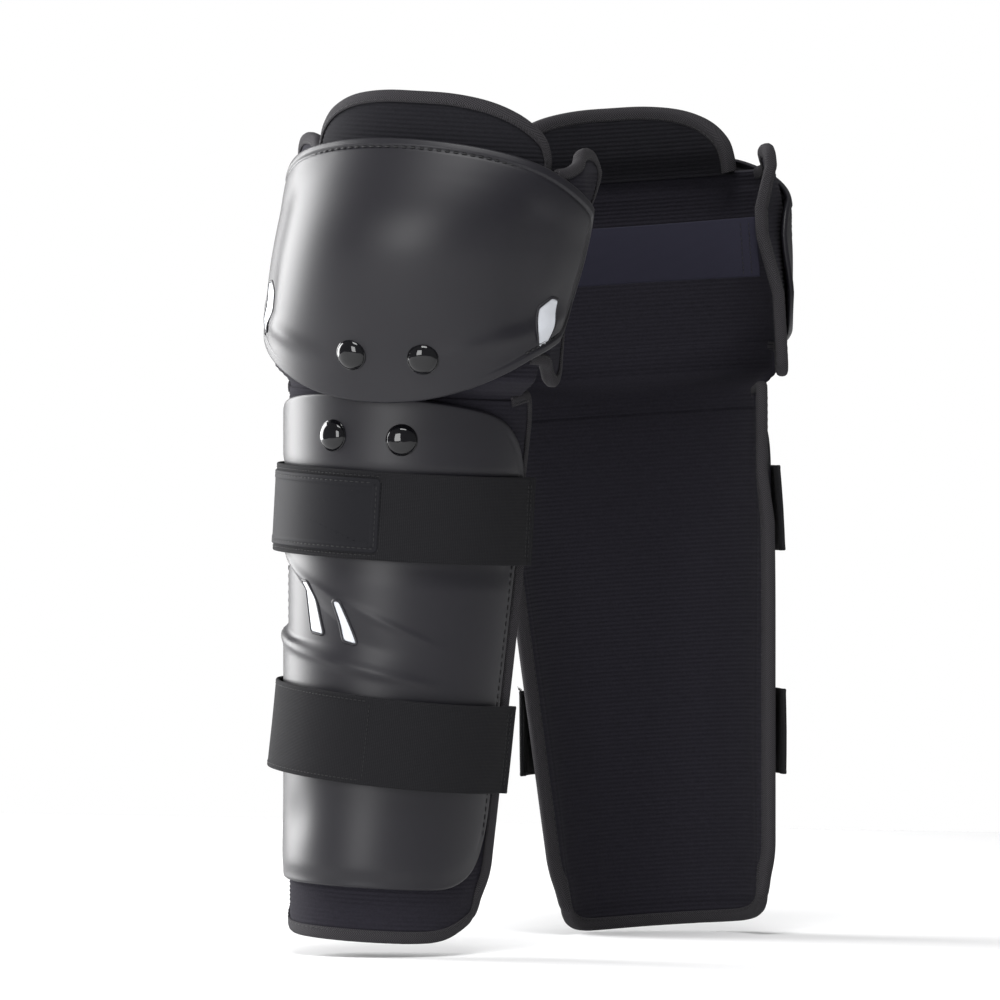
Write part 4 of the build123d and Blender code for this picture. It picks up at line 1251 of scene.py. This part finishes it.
def build_frays(guard):
    """A few loose threads at the free end of the lower strap."""
    wall = strap_wall(guard, LOWER_STRAP)
    rng = np.random.default_rng(7)
    free = float(wall.length(-2.0 * guard.side, 0.0))
    for index in range(5):
        spot = 48.5 + rng.uniform(-1.5, 1.0)
        start = wall.at(free + guard.side * rng.uniform(0.5, 3), spot, -0.6)
        path = [start]
        for step in range(1, 5):
            wobble = rng.normal(0, 0.5, 3)
            path.append(start + np.array([-guard.side * 0.5, 0.6, 0.8]) * step + wobble)
        line = evenly(path, 16)
        turn = tangents(line)
        side = np.cross(turn, (0, 1, 0.2))
        side /= np.linalg.norm(side, axis=1, keepdims=True)
        other = np.cross(turn, side)
        ring = [(math.cos(t), math.sin(t)) for t in np.linspace(0, 2 * math.pi, 5, endpoint=False)]
        points = np.stack([line + 0.16 * (side * c + other * d) for c, d in ring], axis=1)
        faces = weave_grid(len(line), len(ring), closed=True)
        piece(f"{guard.name}_fray_{index}", guard.row(points.reshape(-1, 3)), faces, "thread",
              f"{guard.name}_lower_strap")


for guard in (RIGHT, LEFT):
    build_cup(guard)
    build_plate(guard)
    build_shin_liner(guard)
    build_knee_liner(guard)
    build_flex(guard)
    build_links(guard)
    build_tongue(guard)
    build_straps(guard)
    build_knee_strap(guard)
    build_frays(guard)
    for shell in ("cup", "shin"):
        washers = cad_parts[f"{guard.name}_{shell}_washers"]
        washers.data.materials.clear()
        washers.data.materials.append(MATERIALS["washer_steel"])


# ---- floor, light and camera, in metres ----
FLOOR_HALF = 1.6


def area_light(name, place, target, size, power):
    lamp = bpy.data.lights.new(name, "AREA")
    lamp.shape = "RECTANGLE"
    lamp.size, lamp.size_y = size
    lamp.energy = power
    obj = bpy.data.objects.new(name, lamp)
    bpy.context.scene.collection.objects.link(obj)
    aim(obj, place, target)
    return obj


def aim(obj, place, target):
    direction = Vector(target) - Vector(place)
    obj.location = place
    obj.rotation_euler = direction.to_track_quat("-Z", "Y").to_euler()


def build_floor():
    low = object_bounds()[0][2] - 0.001
    steps = np.linspace(-FLOOR_HALF, FLOOR_HALF, 3)
    points = [(x, y, low) for y in steps for x in steps]
    mesh = bpy.data.meshes.new("floor")
    mesh.from_pydata(points, [], weave_grid(3, 3))
    floor = bpy.data.objects.new("floor", mesh)
    paint = principled("floor_paint", (0.9, 0.9, 0.905), 0.9)
    mesh.materials.append(paint)
    bpy.context.scene.collection.objects.link(floor)


def build_world():
    """A dim room for the light, which the camera sees as plain white."""
    world = bpy.data.worlds.new("studio")
    world.use_nodes = True
    nodes, links = world.node_tree.nodes, world.node_tree.links
    nodes["Background"].inputs["Color"].default_value = (1, 1, 1, 1)
    nodes["Background"].inputs["Strength"].default_value = ROOM_LIGHT
    backdrop = nodes.new("ShaderNodeBackground")
    seen = nodes.new("ShaderNodeLightPath")
    either = nodes.new("ShaderNodeMixShader")
    links.new(seen.outputs["Is Camera Ray"], either.inputs[0])
    links.new(nodes["Background"].outputs[0], either.inputs[1])
    links.new(backdrop.outputs[0], either.inputs[2])
    backdrop.inputs["Color"].default_value = (1, 1, 1, 1)
    links.new(either.outputs[0], nodes["World Output"].inputs["Surface"])
    bpy.context.scene.world = world


CAMERA_DISTANCE = 7.0
CAMERA_AZIMUTH = math.radians(22)
CAMERA_RISE = 0.12
TARGET = (0.046, 0.019, -0.064)
FRAME_WIDTH = 0.568
ROOM_LIGHT = 0.24
# name, place, the point it faces, width and height in metres, watts
LAMPS = (
    ("front", (-0.2, -3.0, 0.35), (0, 0, 0), (1.1, 1.5), 52),
    ("rim", (-2.4, 0.4, 0.3), (0, 0, 0), (1.6, 2.4), 190),
    ("top", (0.6, -1.5, 2.9), (0.05, 0.05, -0.05), (1.6, 1.6), 95),
)

build_floor()
lens = bpy.data.cameras.new("camera")
lens.sensor_width = 36
lens.lens = 36 * CAMERA_DISTANCE / FRAME_WIDTH
lens.clip_end = 50
camera = bpy.data.objects.new("camera", lens)
bpy.context.scene.collection.objects.link(camera)
aim(camera, (
    TARGET[0] + math.sin(CAMERA_AZIMUTH) * CAMERA_DISTANCE,
    TARGET[1] - math.cos(CAMERA_AZIMUTH) * CAMERA_DISTANCE,
    TARGET[2] + CAMERA_RISE,
), TARGET)
bpy.context.scene.camera = camera

for lamp in LAMPS:
    area_light(*lamp)
build_world()
bpy.context.scene.view_settings.view_transform = "Standard"
